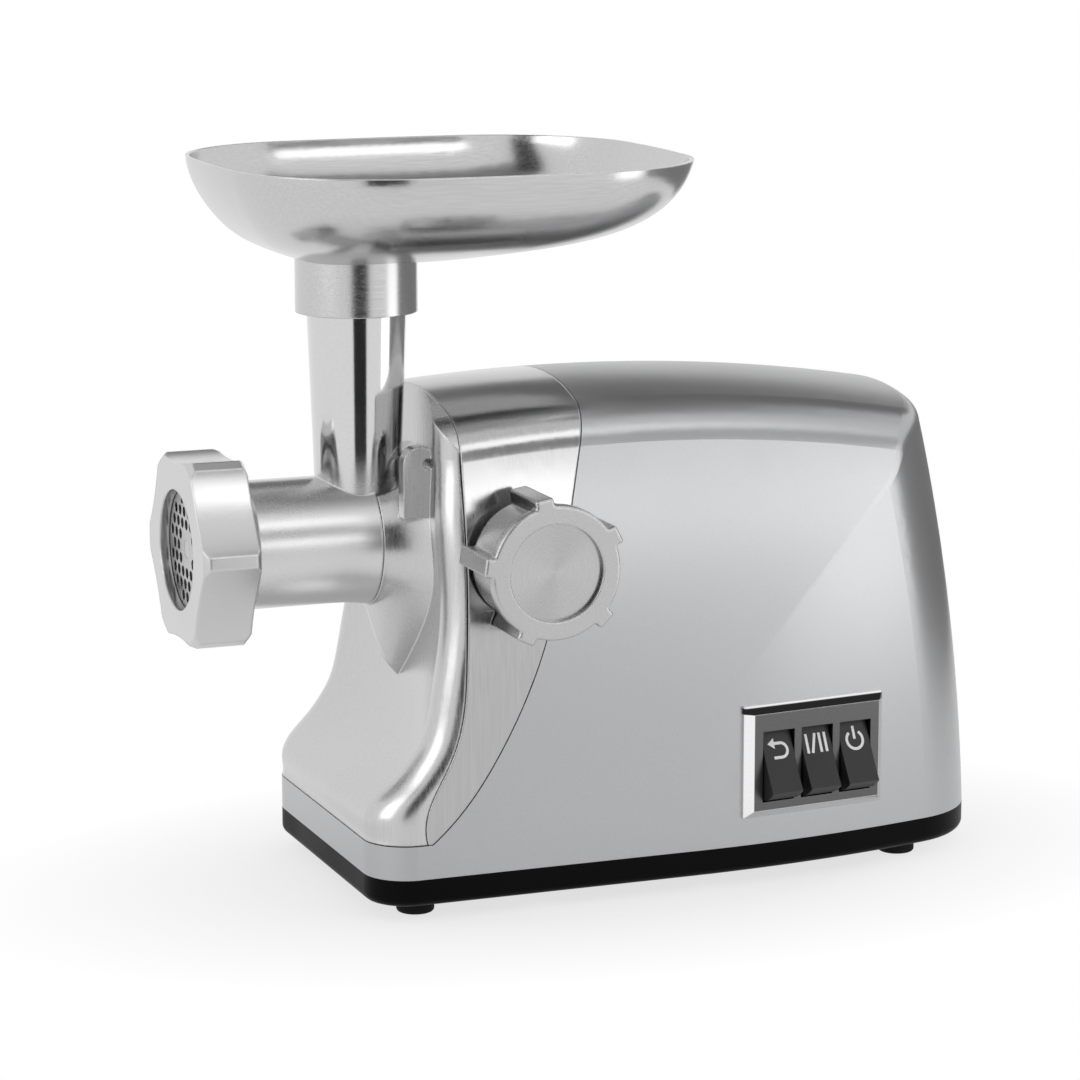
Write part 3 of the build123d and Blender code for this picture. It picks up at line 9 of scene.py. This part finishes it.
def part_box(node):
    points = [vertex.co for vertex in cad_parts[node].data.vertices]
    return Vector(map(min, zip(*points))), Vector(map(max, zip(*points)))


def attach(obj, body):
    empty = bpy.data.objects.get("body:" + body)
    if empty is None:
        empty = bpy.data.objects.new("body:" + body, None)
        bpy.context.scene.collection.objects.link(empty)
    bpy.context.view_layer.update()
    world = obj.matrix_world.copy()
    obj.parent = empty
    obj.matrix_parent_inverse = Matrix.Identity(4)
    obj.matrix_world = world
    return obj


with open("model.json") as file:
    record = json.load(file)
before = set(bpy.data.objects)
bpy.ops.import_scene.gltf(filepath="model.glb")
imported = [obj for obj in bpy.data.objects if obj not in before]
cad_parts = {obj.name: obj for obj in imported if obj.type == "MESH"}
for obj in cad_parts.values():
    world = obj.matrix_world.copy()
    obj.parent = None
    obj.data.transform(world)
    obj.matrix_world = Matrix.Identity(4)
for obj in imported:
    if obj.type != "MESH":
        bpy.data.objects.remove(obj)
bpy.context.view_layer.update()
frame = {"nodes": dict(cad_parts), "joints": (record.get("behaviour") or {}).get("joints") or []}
nodes = frame["nodes"]
joints = {joint["name"]: joint for joint in frame["joints"]}
MM = 0.001

# Camera, fitted to the photograph's viewing angle: place in metres, lens in millimetres
CAMERA_PLACE = (-0.6395, -1.606, 0.4895)
CAMERA_TURN = (radians(78.91), 0.0, radians(-21.15))
CAMERA_LENS = 128.0
CAMERA_SENSOR = 36.0

# Rocker faces and the icons that lie on them, with lengths in millimetres
ROCKER_TILT = radians(26.0)
ROCKER_HALF = 14.7
ROCKER_FACE = 6.1
ROCKER_DISH = 0.6
ICON_LIFT = 0.06
ICON_STROKE = 1.35
ARC_STEPS = 28

# Where the bezel's finish changes, in metres: each pair is the start and end of one change,
# measured from the bezel's middle
BEZEL_MIDDLE_Z = 0.058
BEZEL_FACE_SIDE = (0.0327, 0.0330)
BEZEL_FACE_TOP = (0.0222, 0.0225)
# BEZEL_LIP marks where the painted shade on the bezel's top bevel ends
BEZEL_LIP = (0.0250, 0.0253)

# How a grain is scaled along each axis: a small share draws it out along that axis
EVEN = (1, 1, 1)
DRAWN_X = (0.05, 1, 1)
DRAWN_Y = (1, 0.03, 1)
DRAWN_Z = (1, 1, 0.04)
DRAWN_YZ = (1, 0.02, 0.02)

# Edges: the cosine between the true and the softened normal, on an edge and on a plain face
EDGE_COSINES = (0.86, 0.99)
EDGE_SAMPLES = 6
PLASTIC_EDGE = 0.0006

# Most of a noise's values lie between these
NOISE_LOW, NOISE_HIGH = 0.3, 0.7

# Head casting: roughness added low down, and the heights in metres where it is full and gone
HEAD_SATIN = (0.2, 0.183, 0.2)

# Sockets of a Mix node that mixes colours
MIX_FIRST, MIX_SECOND, MIX_RESULT = 6, 7, 2

# Stage, in metres
FLOOR_SIZE = 30.0
FLOOR_Z = -0.0003
LAMP_AIM = (0.0, 0.0, 0.15)
CARD_AIM = (0.0, 0.0, 0.2)
UP = (0.0, 0.0, 1.0)

# Level of the white sky as a light on matt surfaces, and as the camera and reflections see it
SKY_ON_MATT = 0.55
SKY_SEEN = 1.0


class Finish:
    """A node material that is built up around one Principled shader."""

    def __init__(self, name, **uniform):
        self.material = bpy.data.materials.new(name)
        self.material.use_nodes = True
        self.tree = self.material.node_tree
        self.shader = self.tree.nodes["Principled BSDF"]
        for socket, value in uniform.items():
            self.shader.inputs[socket.replace("_", " ")].default_value = value
        self.place = self.add("ShaderNodeTexCoord").outputs["Object"]
        self.normal = None

    def add(self, kind, inputs=None, **settings):
        node = self.tree.nodes.new(kind)
        for name, value in settings.items():
            setattr(node, name, value)
        for name, value in (inputs or {}).items():
            self.feed(node.inputs[name], value)
        return node

    def feed(self, socket, value):
        if isinstance(value, bpy.types.NodeSocket):
            self.tree.links.new(value, socket)
        else:
            socket.default_value = value

    def stretched(self, scale, centre=(0, 0, 0)):
        """The object's own coordinates, scaled about a centre, for grain that runs one way."""
        offset = tuple(-c * s for c, s in zip(centre, scale))
        inputs = {"Vector": self.place, "Location": offset, "Scale": scale}
        return self.add("ShaderNodeMapping", inputs).outputs["Vector"]

    def noise(self, scale, detail, vector=None):
        inputs = {"Vector": vector or self.place, "Scale": scale, "Detail": detail}
        return self.add("ShaderNodeTexNoise", inputs).outputs["Fac"]

    def grain(self, scale, stretch, detail):
        return self.noise(1.0, detail, self.stretched(tuple(scale * s for s in stretch)))

    def ranged(self, value, low, high, start=NOISE_LOW, end=NOISE_HIGH):
        """A value that goes from low to high as another goes from start to end."""
        inputs = {
            "Value": value, "From Min": start, "From Max": end, "To Min": low, "To Max": high,
        }
        return self.add("ShaderNodeMapRange", inputs, clamp=True).outputs["Result"]

    def math(self, operation, first, second=0.0):
        node = self.add("ShaderNodeMath", operation=operation)
        self.feed(node.inputs[0], first)
        self.feed(node.inputs[1], second)
        return node.outputs[0]

    def vector_math(self, operation, first, second=None):
        inputs = {0: first} if second is None else {0: first, 1: second}
        return self.add("ShaderNodeVectorMath", inputs, operation=operation)

    def axis(self, name):
        return self.add("ShaderNodeSeparateXYZ", {"Vector": self.place}).outputs[name]

    def mixed(self, factor, first, second):
        node = self.add("ShaderNodeMix", data_type="RGBA")
        self.feed(node.inputs["Factor"], factor)
        self.feed(node.inputs[MIX_FIRST], first)
        self.feed(node.inputs[MIX_SECOND], second)
        return node.outputs[MIX_RESULT]

    def speckled(self, noise, first, second):
        """Two colours that a noise tells apart."""
        return self.mixed(self.ranged(noise, 0.0, 1.0), first, second)

    def rounded(self, radius):
        """Softens the look of hard edges to a radius, and gives a mask that is 1 on them."""
        bevel = self.add("ShaderNodeBevel", {"Radius": radius}, samples=EDGE_SAMPLES)
        true = self.add("ShaderNodeNewGeometry").outputs["Normal"]
        self.normal = bevel.outputs["Normal"]
        facing = self.vector_math("DOT_PRODUCT", self.normal, true)
        return self.ranged(facing.outputs["Value"], 1.0, 0.0, *EDGE_COSINES)

    def bump(self, height, distance):
        inputs = {"Height": height, "Distance": distance, "Strength": 1.0}
        if self.normal is not None:
            inputs["Normal"] = self.normal
        self.normal = self.add("ShaderNodeBump", inputs).outputs["Normal"]

    def done(self, colour, roughness):
        self.feed(self.shader.inputs["Base Color"], colour)
        self.feed(self.shader.inputs["Roughness"], roughness)
        if self.normal is not None:
            self.feed(self.shader.inputs["Normal"], self.normal)
        return self.material


def grey(value, tint=0.0):
    """A neutral colour, made slightly bluer by tint."""
    green_share = 0.6
    return (value * (1 - tint), value * (1 - green_share * tint), value * (1 + tint), 1.0)


def paint(material, *names):
    for name in names:
        slots = nodes[name].data.materials
        slots.clear()
        slots.append(material)


def metal(name, light, dark, rough, scale, stretch=EVEN, edge=0.0, bump=0.0, satin=None):
    """Metal with a fine grain in its colour and roughness, and softened edges whose colour is made
    brighter as a painted highlight.

    satin adds roughness that fades out between two heights.
    """
    grain_detail, cloud_scale, cloud_detail = 4.0, 18.0, 2.0
    edge_highlight_share, edge_highlight_gain = 0.5, 1.12
    grain_swing = 0.03
    finish = Finish(name, Metallic=1.0)
    grain = finish.grain(scale, stretch, grain_detail)
    cloud = finish.noise(cloud_scale, cloud_detail)
    colour = finish.speckled(grain, grey(dark), grey(light))
    if edge:
        # Painted highlight: the colour of the softened edges is mixed towards a brighter grey.
        mask = finish.math("MULTIPLY", finish.rounded(edge), edge_highlight_share)
        colour = finish.mixed(mask, colour, grey(min(1.0, light * edge_highlight_gain)))
    fine = finish.ranged(grain, -grain_swing, grain_swing)
    roughness = finish.math("ADD", finish.ranged(cloud, *rough), fine)
    if satin:
        extra, full, none = satin
        added = finish.ranged(finish.axis("Z"), extra, 0.0, full, none)
        roughness = finish.math("ADD", roughness, added)
    if bump:
        finish.bump(grain, bump)
    return finish.done(colour, roughness)


def tinted_metal(name, light, dark, rough, scale, stretch=EVEN):
    """Coloured metal with a grain in its colour and roughness."""
    grain_detail = 3.0
    finish = Finish(name, Metallic=1.0)
    grain = finish.grain(scale, stretch, grain_detail)
    colour = finish.speckled(grain, (*dark, 1.0), (*light, 1.0))
    return finish.done(colour, finish.ranged(grain, *rough))


def plastic(name, value, rough, scale, bump, tint=0.0, **uniform):
    """Moulded plastic with a fine spark texture, and edges whose colour is made lighter as a
    painted highlight.
    """
    spark_detail, cloud_scale, cloud_detail = 3.0, 25.0, 2.0
    dark_share, light_share = 0.85, 1.15
    plastic_highlight_share, plastic_highlight_gain, plastic_highlight_lift = 0.35, 2.2, 0.02
    rough_swing = 0.05
    finish = Finish(name, **uniform)
    spark = finish.noise(scale, spark_detail)
    cloud = finish.noise(cloud_scale, cloud_detail)
    # Painted highlight: the colour of the softened edges is mixed towards a lighter grey.
    plastic_highlight = finish.math("MULTIPLY", finish.rounded(PLASTIC_EDGE), plastic_highlight_share)
    colour = finish.speckled(cloud, grey(value * dark_share, tint), grey(value * light_share, tint))
    colour = finish.mixed(plastic_highlight, colour, grey(value * plastic_highlight_gain + plastic_highlight_lift, tint))
    finish.bump(spark, bump)
    return finish.done(colour, finish.ranged(cloud, rough - rough_swing, rough + rough_swing))


def housing_finish():
    """Satin metallic paint with a fine flake and a faint brushing along the housing."""
    flake_scale, flake_detail = 1800.0, 1.0
    brush_scale, brush_detail = (90.0, 3200.0, 3200.0), 3.0
    cloud_scale, cloud_detail = 9.0, 2.0
    dark, light, tint = 0.435, 0.46, 0.012
    smooth, rough, brush_swing = 0.30, 0.335, 0.004
    finish = Finish("housing_paint", Metallic=0.94, Coat_Weight=0.12, Coat_Roughness=0.2)
    flake = finish.noise(flake_scale, flake_detail)
    brush = finish.grain(1.0, brush_scale, brush_detail)
    cloud = finish.noise(cloud_scale, cloud_detail)
    colour = finish.speckled(flake, grey(dark, tint), grey(light, tint))
    brushing = finish.ranged(brush, -brush_swing, brush_swing)
    roughness = finish.math("ADD", finish.ranged(cloud, smooth, rough), brushing)
    return finish.done(colour, roughness)


def spun_finish():
    """A disc with brushing that runs in rings round its own centre."""
    ring_scale, ring_detail, ring_depth = 2600.0, 2.0, 0.000002
    dark, light = 0.45, 0.50
    smooth, rough = 0.20, 0.34
    low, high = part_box("knob_disc")
    centre = (low + high) / 2
    finish = Finish("spun_disc", Metallic=1.0, Anisotropic=0.75)
    across = finish.stretched((1.0, 0.0, 1.0), (centre.x, 0.0, centre.z))
    radius = finish.vector_math("LENGTH", across).outputs["Value"]
    inputs = {"W": radius, "Scale": ring_scale, "Detail": ring_detail}
    rings = finish.add("ShaderNodeTexNoise", inputs, noise_dimensions="1D").outputs["Fac"]
    tangent = finish.add("ShaderNodeTangent", direction_type="RADIAL", axis="Y")
    finish.feed(finish.shader.inputs["Tangent"], tangent.outputs["Tangent"])
    finish.bump(rings, ring_depth)
    return finish.done(
        finish.speckled(rings, grey(dark), grey(light)), finish.ranged(rings, smooth, rough)
    )


def bezel_finish():
    """A bright frame round a grey face, with painted shade that colours the frame's top bevel
    black.

    They are told apart by their place on the panel, from the pivot of the middle rocker.
    """
    grain_scale, grain_detail, edge = 2200.0, 3.0, 0.0005
    frame_dark, frame_light, frame_rough = 0.84, 0.90, 0.14
    face_dark, face_light, face_rough = 0.105, 0.13, 0.34
    # Black of the painted shade on the top bevel
    painted_shade_black = 0.02
    middle = joints["speed_rock"]
    finish = Finish("bezel_two_tone_painted_shade", Metallic=1.0)
    grain = finish.noise(grain_scale, grain_detail)
    offset = finish.vector_math("SUBTRACT", finish.place, Vector(middle["pos_m"]))
    along = Vector(middle["axis"])
    across = finish.vector_math("DOT_PRODUCT", offset.outputs["Vector"], along)
    width = finish.math("ABSOLUTE", across.outputs["Value"])
    height = finish.math("SUBTRACT", finish.axis("Z"), BEZEL_MIDDLE_Z)
    beside = finish.ranged(width, 1.0, 0.0, *BEZEL_FACE_SIDE)
    above = finish.ranged(finish.math("ABSOLUTE", height), 1.0, 0.0, *BEZEL_FACE_TOP)
    face = finish.math("MULTIPLY", beside, above)
    finish.rounded(edge)
    # Painted shade: the band of the top bevel, above the face and below the lip, is coloured black
    over_face = finish.ranged(height, 0.0, 1.0, *BEZEL_FACE_TOP)
    under_lip = finish.ranged(height, 1.0, 0.0, *BEZEL_LIP)
    upper = finish.math("MULTIPLY", over_face, under_lip)
    frame_colour = finish.speckled(grain, grey(frame_dark), grey(frame_light))
    frame_colour = finish.mixed(upper, frame_colour, grey(painted_shade_black))
    face_colour = finish.speckled(grain, grey(face_dark), grey(face_light))
    colour = finish.mixed(face, frame_colour, face_colour)
    return finish.done(colour, finish.ranged(face, frame_rough, face_rough, 0.0, 1.0))


def board_finish():
    """Green board with lighter tracks between its cells."""
    cell_scale, track_start, track_end = 260.0, 0.02, 0.12
    green, track_green = (0.01, 0.09, 0.035, 1.0), (0.03, 0.2, 0.08, 1.0)
    smooth, rough = 0.35, 0.5
    finish = Finish("board_green")
    inputs = {"Vector": finish.place, "Scale": cell_scale}
    cells = finish.add("ShaderNodeTexVoronoi", inputs, feature="DISTANCE_TO_EDGE")
    mask = finish.ranged(cells.outputs["Distance"], 1.0, 0.0, track_start, track_end)
    colour = finish.mixed(mask, green, track_green)
    return finish.done(colour, finish.ranged(mask, smooth, rough, 0.0, 1.0))


def icon_finish():
    """White print."""
    speck_scale, speck_detail = 3000.0, 2.0
    dark, light = 0.80, 0.92
    smooth, rough = 0.4, 0.55
    finish = Finish("icon_white")
    speck = finish.noise(speck_scale, speck_detail)
    colour = finish.speckled(speck, grey(dark), grey(light))
    return finish.done(colour, finish.ranged(speck, smooth, rough))


# Housing, grinding head, tray, knob and switches
paint(housing_finish(), "main_housing")
paint(
    metal(
        "satin_nickel", light=0.47, dark=0.43, rough=(0.15, 0.20),
        scale=900.0, stretch=DRAWN_Z, edge=0.0012,
    ),
    "front_fascia",
)
paint(
    metal(
        "panel_nickel", light=0.57, dark=0.53, rough=(0.22, 0.28),
        scale=900.0, stretch=DRAWN_Z, edge=0.0012,
    ),
    "front_panel",
)
paint(
    metal(
        "cast_head", light=0.66, dark=0.61, rough=(0.08, 0.12),
        scale=1600.0, edge=0.0012, satin=HEAD_SATIN,
    ),
    "head_casting",
)
paint(
    metal(
        "cast_nut", light=0.60, dark=0.54, rough=(0.18, 0.25),
        scale=2200.0, edge=0.0016, bump=0.000004,
    ),
    "ring_nut",
)
paint(
    metal(
        "knob_satin", light=0.52, dark=0.47, rough=(0.22, 0.30),
        scale=2200.0, edge=0.0014, bump=0.000006,
    ),
    "lock_knob",
)
paint(
    metal(
        "tray_polish", light=0.58, dark=0.53, rough=(0.18, 0.25),
        scale=1200.0, stretch=DRAWN_X, edge=0.0008,
    ),
    "feed_tray",
)
paint(
    metal(
        "ground_steel", light=0.55, dark=0.48, rough=(0.24, 0.32),
        scale=1500.0, stretch=DRAWN_Y, edge=0.0003,
    ),
    "cutting_plate", "cross_blade",
)
paint(
    metal(
        "auger_cast", light=0.66, dark=0.58, rough=(0.34, 0.44),
        scale=1400.0, edge=0.0008, bump=0.00001,
    ),
    "auger",
)
paint(spun_finish(), "knob_disc")
paint(
    plastic(
        "base_black", value=0.002, rough=0.4, scale=1800.0, bump=0.00001,
        Specular_IOR_Level=0.06,
    ),
    "base_plate",
)
paint(
    plastic(
        "foot_rubber", value=0.006, rough=0.75, scale=2600.0, bump=0.00003,
        Specular_IOR_Level=0.2,
    ),
    "rubber_feet",
)
paint(
    plastic("rocker_black", value=0.012, rough=0.34, scale=2400.0, bump=0.000006),
    "reverse_rocker", "speed_rocker", "power_rocker",
)
paint(bezel_finish(), "switch_bezel")

# Drive, bushes, screws, control board and other inner parts, and the cord gland
paint(
    plastic("inner_black", value=0.03, rough=0.5, scale=1500.0, bump=0.00002),
    "head_socket", "gearbox_cover", "gearbox_case", "switch_bodies", "brush_holders",
    "cooling_fan", "cord_gland", "carbon_brushes",
)
paint(
    plastic("nylon", value=0.72, rough=0.45, scale=1500.0, bump=0.00001, tint=-0.04),
    "output_gear", "intermediate_wheel", "clamp_pad",
)
paint(
    plastic("bracket_zinc", value=0.35, rough=0.5, scale=900.0, bump=0.00003),
    "front_motor_bracket", "rear_motor_bracket",
)
paint(
    metal(
        "turned_steel", light=0.62, dark=0.54, rough=(0.2, 0.3),
        scale=1800.0, stretch=DRAWN_X, edge=0.0003,
    ),
    "base_screws", "gearbox_screws", "socket_screws", "motor_bolts", "lock_screw", "rocker_pin",
    "output_shaft", "intermediate_shaft", "armature_shaft", "intermediate_pinion", "motor_pinion",
    "front_motor_bearing", "rear_motor_bearing", "thrust_washer",
)
paint(
    tinted_metal(
        "bronze", light=(0.66, 0.44, 0.22), dark=(0.50, 0.31, 0.13), rough=(0.28, 0.4),
        scale=1600.0,
    ),
    "lock_bush", "auger_bush", "output_bushes", "intermediate_bushes",
)
paint(
    tinted_metal(
        "copper_wire", light=(0.78, 0.36, 0.17), dark=(0.42, 0.16, 0.06), rough=(0.25, 0.45),
        scale=1400.0, stretch=DRAWN_X,
    ),
    "field_coils", "armature_windings", "commutator",
)
paint(
    tinted_metal(
        "sheet_stack", light=(0.30, 0.30, 0.31), dark=(0.14, 0.14, 0.15), rough=(0.4, 0.55),
        scale=2400.0, stretch=DRAWN_YZ,
    ),
    "stator_core", "armature_core",
)
paint(board_finish(), "control_board", "board_capacitors")


# Rocker icons: thin white strokes that lie on each rocker's dished face

def rocker_point(joint, u, s):
    """A point on a rocker's face: u across it and s up it, in millimetres from its middle."""
    pivot = Vector(joint["pos_m"])
    along = Vector(joint["axis"])
    out = Vector((along.y, -along.x, 0.0))
    up = Vector(UP)
    face_up = up * cos(ROCKER_TILT) - out * sin(ROCKER_TILT)
    face_out = out * cos(ROCKER_TILT) + up * sin(ROCKER_TILT)
    dish_r = (ROCKER_HALF**2 + ROCKER_DISH**2) / (2 * ROCKER_DISH)
    height = ROCKER_FACE - ROCKER_DISH + dish_r - sqrt(dish_r**2 - s**2) + ICON_LIFT
    return pivot + MM * (along * u + face_up * s + face_out * height)


def arc(centre, radius, start, end):
    """Points along an arc, with its angles in degrees."""
    angles = [radians(start + (end - start) * n / ARC_STEPS) for n in range(ARC_STEPS + 1)]
    return [(centre[0] + radius * cos(a), centre[1] + radius * sin(a)) for a in angles]


def ribbon(mesh, joint, points):
    """A flat stroke of even width along a run of points."""
    rows = []
    for n, (u, s) in enumerate(points):
        before = points[max(0, n - 1)]
        after = points[min(len(points) - 1, n + 1)]
        run = (after[0] - before[0], after[1] - before[1])
        size = hypot(*run)
        beside = (-run[1] / size * ICON_STROKE / 2, run[0] / size * ICON_STROKE / 2)
        places = [
            rocker_point(joint, u + side * beside[0], s + side * beside[1]) for side in (-1, 1)
        ]
        rows.append([mesh.verts.new(place) for place in places])
    for first, second in zip(rows, rows[1:]):
        mesh.faces.new((first[0], second[0], second[1], first[1]))


def icon(name, joint_name, strokes, wedges=()):
    joint = joints[joint_name]
    mesh = bmesh.new()
    for points in strokes:
        ribbon(mesh, joint, points)
    for corners in wedges:
        mesh.faces.new([mesh.verts.new(rocker_point(joint, u, s)) for u, s in corners])
    data = bpy.data.meshes.new(name)
    mesh.to_mesh(data)
    mesh.free()
    piece = bpy.data.objects.new(name, data)
    bpy.context.scene.collection.objects.link(piece)
    data.materials.append(icon_white)
    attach(piece, joint["child"])


icon_white = icon_finish()
ICON_LOW, BAR_HIGH, HOOK_HIGH = 1.8, 10.8, 8.4

hook = [(-2.0, HOOK_HIGH), *arc((1.2, 5.1), 3.3, 90, -90), (-3.0, ICON_LOW)]
arrow_head = [(-5.2, HOOK_HIGH), (-1.8, 10.9), (-1.8, 5.9)]
icon("icon_reverse", "reverse_press", [hook], [arrow_head])

bars = [
    [(-5.0, BAR_HIGH), (-5.0, ICON_LOW)],
    [(-2.8, ICON_LOW), (-0.2, BAR_HIGH)],
    [(1.9, BAR_HIGH), (1.9, ICON_LOW)],
    [(4.7, BAR_HIGH), (4.7, ICON_LOW)],
]
icon("icon_speed", "speed_rock", bars)

open_ring = arc((0.0, 5.4), 4.2, 126, 414)
ring_bar = [(0.0, 11.8), (0.0, 5.8)]
icon("icon_power", "power_rock", [open_ring, ring_bar])


# Studio: pale floor, soft lamps, and dark and grey cards that only reflections show

def stage_plane(name, size, place):
    bpy.ops.mesh.primitive_plane_add(size=1.0, location=place)
    plane = bpy.context.object
    plane.name = name
    plane.scale = (size[0], size[1], 1.0)
    return plane


def seen_rays(tree):
    """1 for rays from the camera, a reflection or clear glass."""
    path = tree.nodes.new("ShaderNodeLightPath")
    total = path.outputs["Is Camera Ray"]
    for name in ("Is Glossy Ray", "Is Transmission Ray"):
        most = tree.nodes.new("ShaderNodeMath")
        most.operation = "MAXIMUM"
        tree.links.new(total, most.inputs[0])
        tree.links.new(path.outputs[name], most.inputs[1])
        total = most.outputs[0]
    return total


def floor_finish():
    """Pale and matt, mixed with plain white that takes over further from the object.

    Near the object enough of the matt floor is left to show the shadow.
    """
    grain_scale, grain_detail = 60.0, 2.0
    dark, light, rough = 0.86, 0.9, 0.8
    spot_scale = (4.0, 6.5, 0.0)
    fade_start, fade_end = 0.6, 1.2
    white_near, white_far = 0.72, 1.0
    finish = Finish("floor_pale")
    grain = finish.noise(grain_scale, grain_detail)
    finish.done(finish.speckled(grain, grey(dark), grey(light)), rough)
    place = finish.add("ShaderNodeNewGeometry").outputs["Position"]
    spot = finish.vector_math("MULTIPLY", place, spot_scale)
    away = finish.vector_math("LENGTH", spot.outputs["Vector"])
    white = finish.ranged(away.outputs["Value"], white_near, white_far, fade_start, fade_end)
    glow = finish.add("ShaderNodeEmission", {"Strength": 1.0})
    blend = finish.add("ShaderNodeMixShader")
    finish.feed(blend.inputs[0], finish.math("MULTIPLY", white, seen_rays(finish.tree)))
    finish.feed(blend.inputs[1], finish.shader.outputs["BSDF"])
    finish.feed(blend.inputs[2], glow.outputs["Emission"])
    output = finish.tree.nodes["Material Output"]
    finish.feed(output.inputs["Surface"], blend.outputs["Shader"])
    return finish.material


def card_finish(name, value):
    grain_scale, grain_detail, rough = 6.0, 2.0, 0.9
    dark_share, light_share = 0.9, 1.1
    finish = Finish(name)
    grain = finish.noise(grain_scale, grain_detail)
    colour = finish.speckled(grain, grey(value * dark_share), grey(value * light_share))
    return finish.done(colour, rough)


def card(name, size, place, target, material, along=UP):
    """A card that faces a target, with its second side as near as can be along a direction."""
    plane = stage_plane(name, size, place)
    facing = (Vector(target) - Vector(place)).normalized()
    first = Vector(along).cross(facing).normalized()
    second = facing.cross(first)
    plane.rotation_euler = Matrix((first, second, facing)).transposed().to_euler()
    plane.visible_camera = False
    plane.visible_diffuse = False
    plane.visible_shadow = False
    plane.data.materials.append(material)


def lamp(name, size, place, power, target=LAMP_AIM):
    data = bpy.data.lights.new(name, "AREA")
    data.shape = "RECTANGLE"
    data.size, data.size_y = size
    data.energy = power
    piece = bpy.data.objects.new(name, data)
    bpy.context.scene.collection.objects.link(piece)
    piece.location = place
    facing = Vector(target) - Vector(place)
    piece.rotation_euler = facing.to_track_quat("-Z", "Y").to_euler()
    piece.visible_camera = False


floor = stage_plane("floor", (FLOOR_SIZE, FLOOR_SIZE), (0, 0, FLOOR_Z))
floor.data.materials.append(floor_finish())

world = bpy.data.worlds.new("studio")
bpy.context.scene.world = world
world.use_nodes = True
sky_tree = world.node_tree
sky = sky_tree.nodes["Background"]
sky.inputs["Color"].default_value = (1, 1, 1, 1)
sky_level = sky_tree.nodes.new("ShaderNodeMapRange")
sky_level.inputs["To Min"].default_value = SKY_ON_MATT
sky_level.inputs["To Max"].default_value = SKY_SEEN
sky_tree.links.new(seen_rays(sky_tree), sky_level.inputs["Value"])
sky_tree.links.new(sky_level.outputs["Result"], sky.inputs["Strength"])

lamp("key_right", size=(1.5, 0.3), place=(0.80, -2.23, 0.52), power=2.6)
lamp(
    "low_right", size=(0.25, 0.22), place=(0.42, -0.40, 0.115), power=0.2,
    target=(0.1, -0.07, 0.115),
)
lamp("fill_left", size=(1.4, 1.6), place=(-2.2, -0.6, 1.0), power=9.5)
lamp("soft_front", size=(1.0, 0.45), place=(0.61, -1.56, 1.60), power=1.8)

card_dark = card_finish("card_dark", 0.03)
card_mid = card_finish("card_mid", 0.3)
card_grey = card_finish("card_grey", 0.42)
card_light = card_finish("card_light", 0.6)
card(
    "card_camera", size=(0.345, 0.5), place=(-0.223, -0.623, 0.25),
    target=(-0.105, -0.015, 0.25), material=card_dark,
)
card(
    "card_high", size=(0.45, 1.85), place=(-0.80, -0.44, 1.6),
    target=(0.007, 0.09, 0.32), material=card_dark, along=(0.266, 0.667, 0.446),
)
card(
    "card_top", size=(1.3, 1.6), place=(0.25, 0.15, 1.9),
    target=CARD_AIM, material=card_grey, along=(1.0, 0.0, 0.0),
)
card(
    "card_back", size=(1.68, 1.17), place=(0.768, 1.096, 1.40),
    target=CARD_AIM, material=card_mid,
)
card(
    "card_front", size=(1.1, 0.6), place=(0.78, -1.70, 1.08),
    target=(0.05, -0.06, 0.2), material=card_light,
)
card(
    "card_right", size=(1.07, 0.3), place=(0.62, 0.21, 0.15),
    target=(0.0, 0.21, 0.15), material=card_grey,
)

camera_data = bpy.data.cameras.new("camera")
camera_data.lens = CAMERA_LENS
camera_data.sensor_width = CAMERA_SENSOR
camera = bpy.data.objects.new("camera", camera_data)
bpy.context.scene.collection.objects.link(camera)
camera.location = CAMERA_PLACE
camera.rotation_euler = CAMERA_TURN
bpy.context.scene.camera = camera
bpy.context.scene.view_settings.view_transform = "Standard"
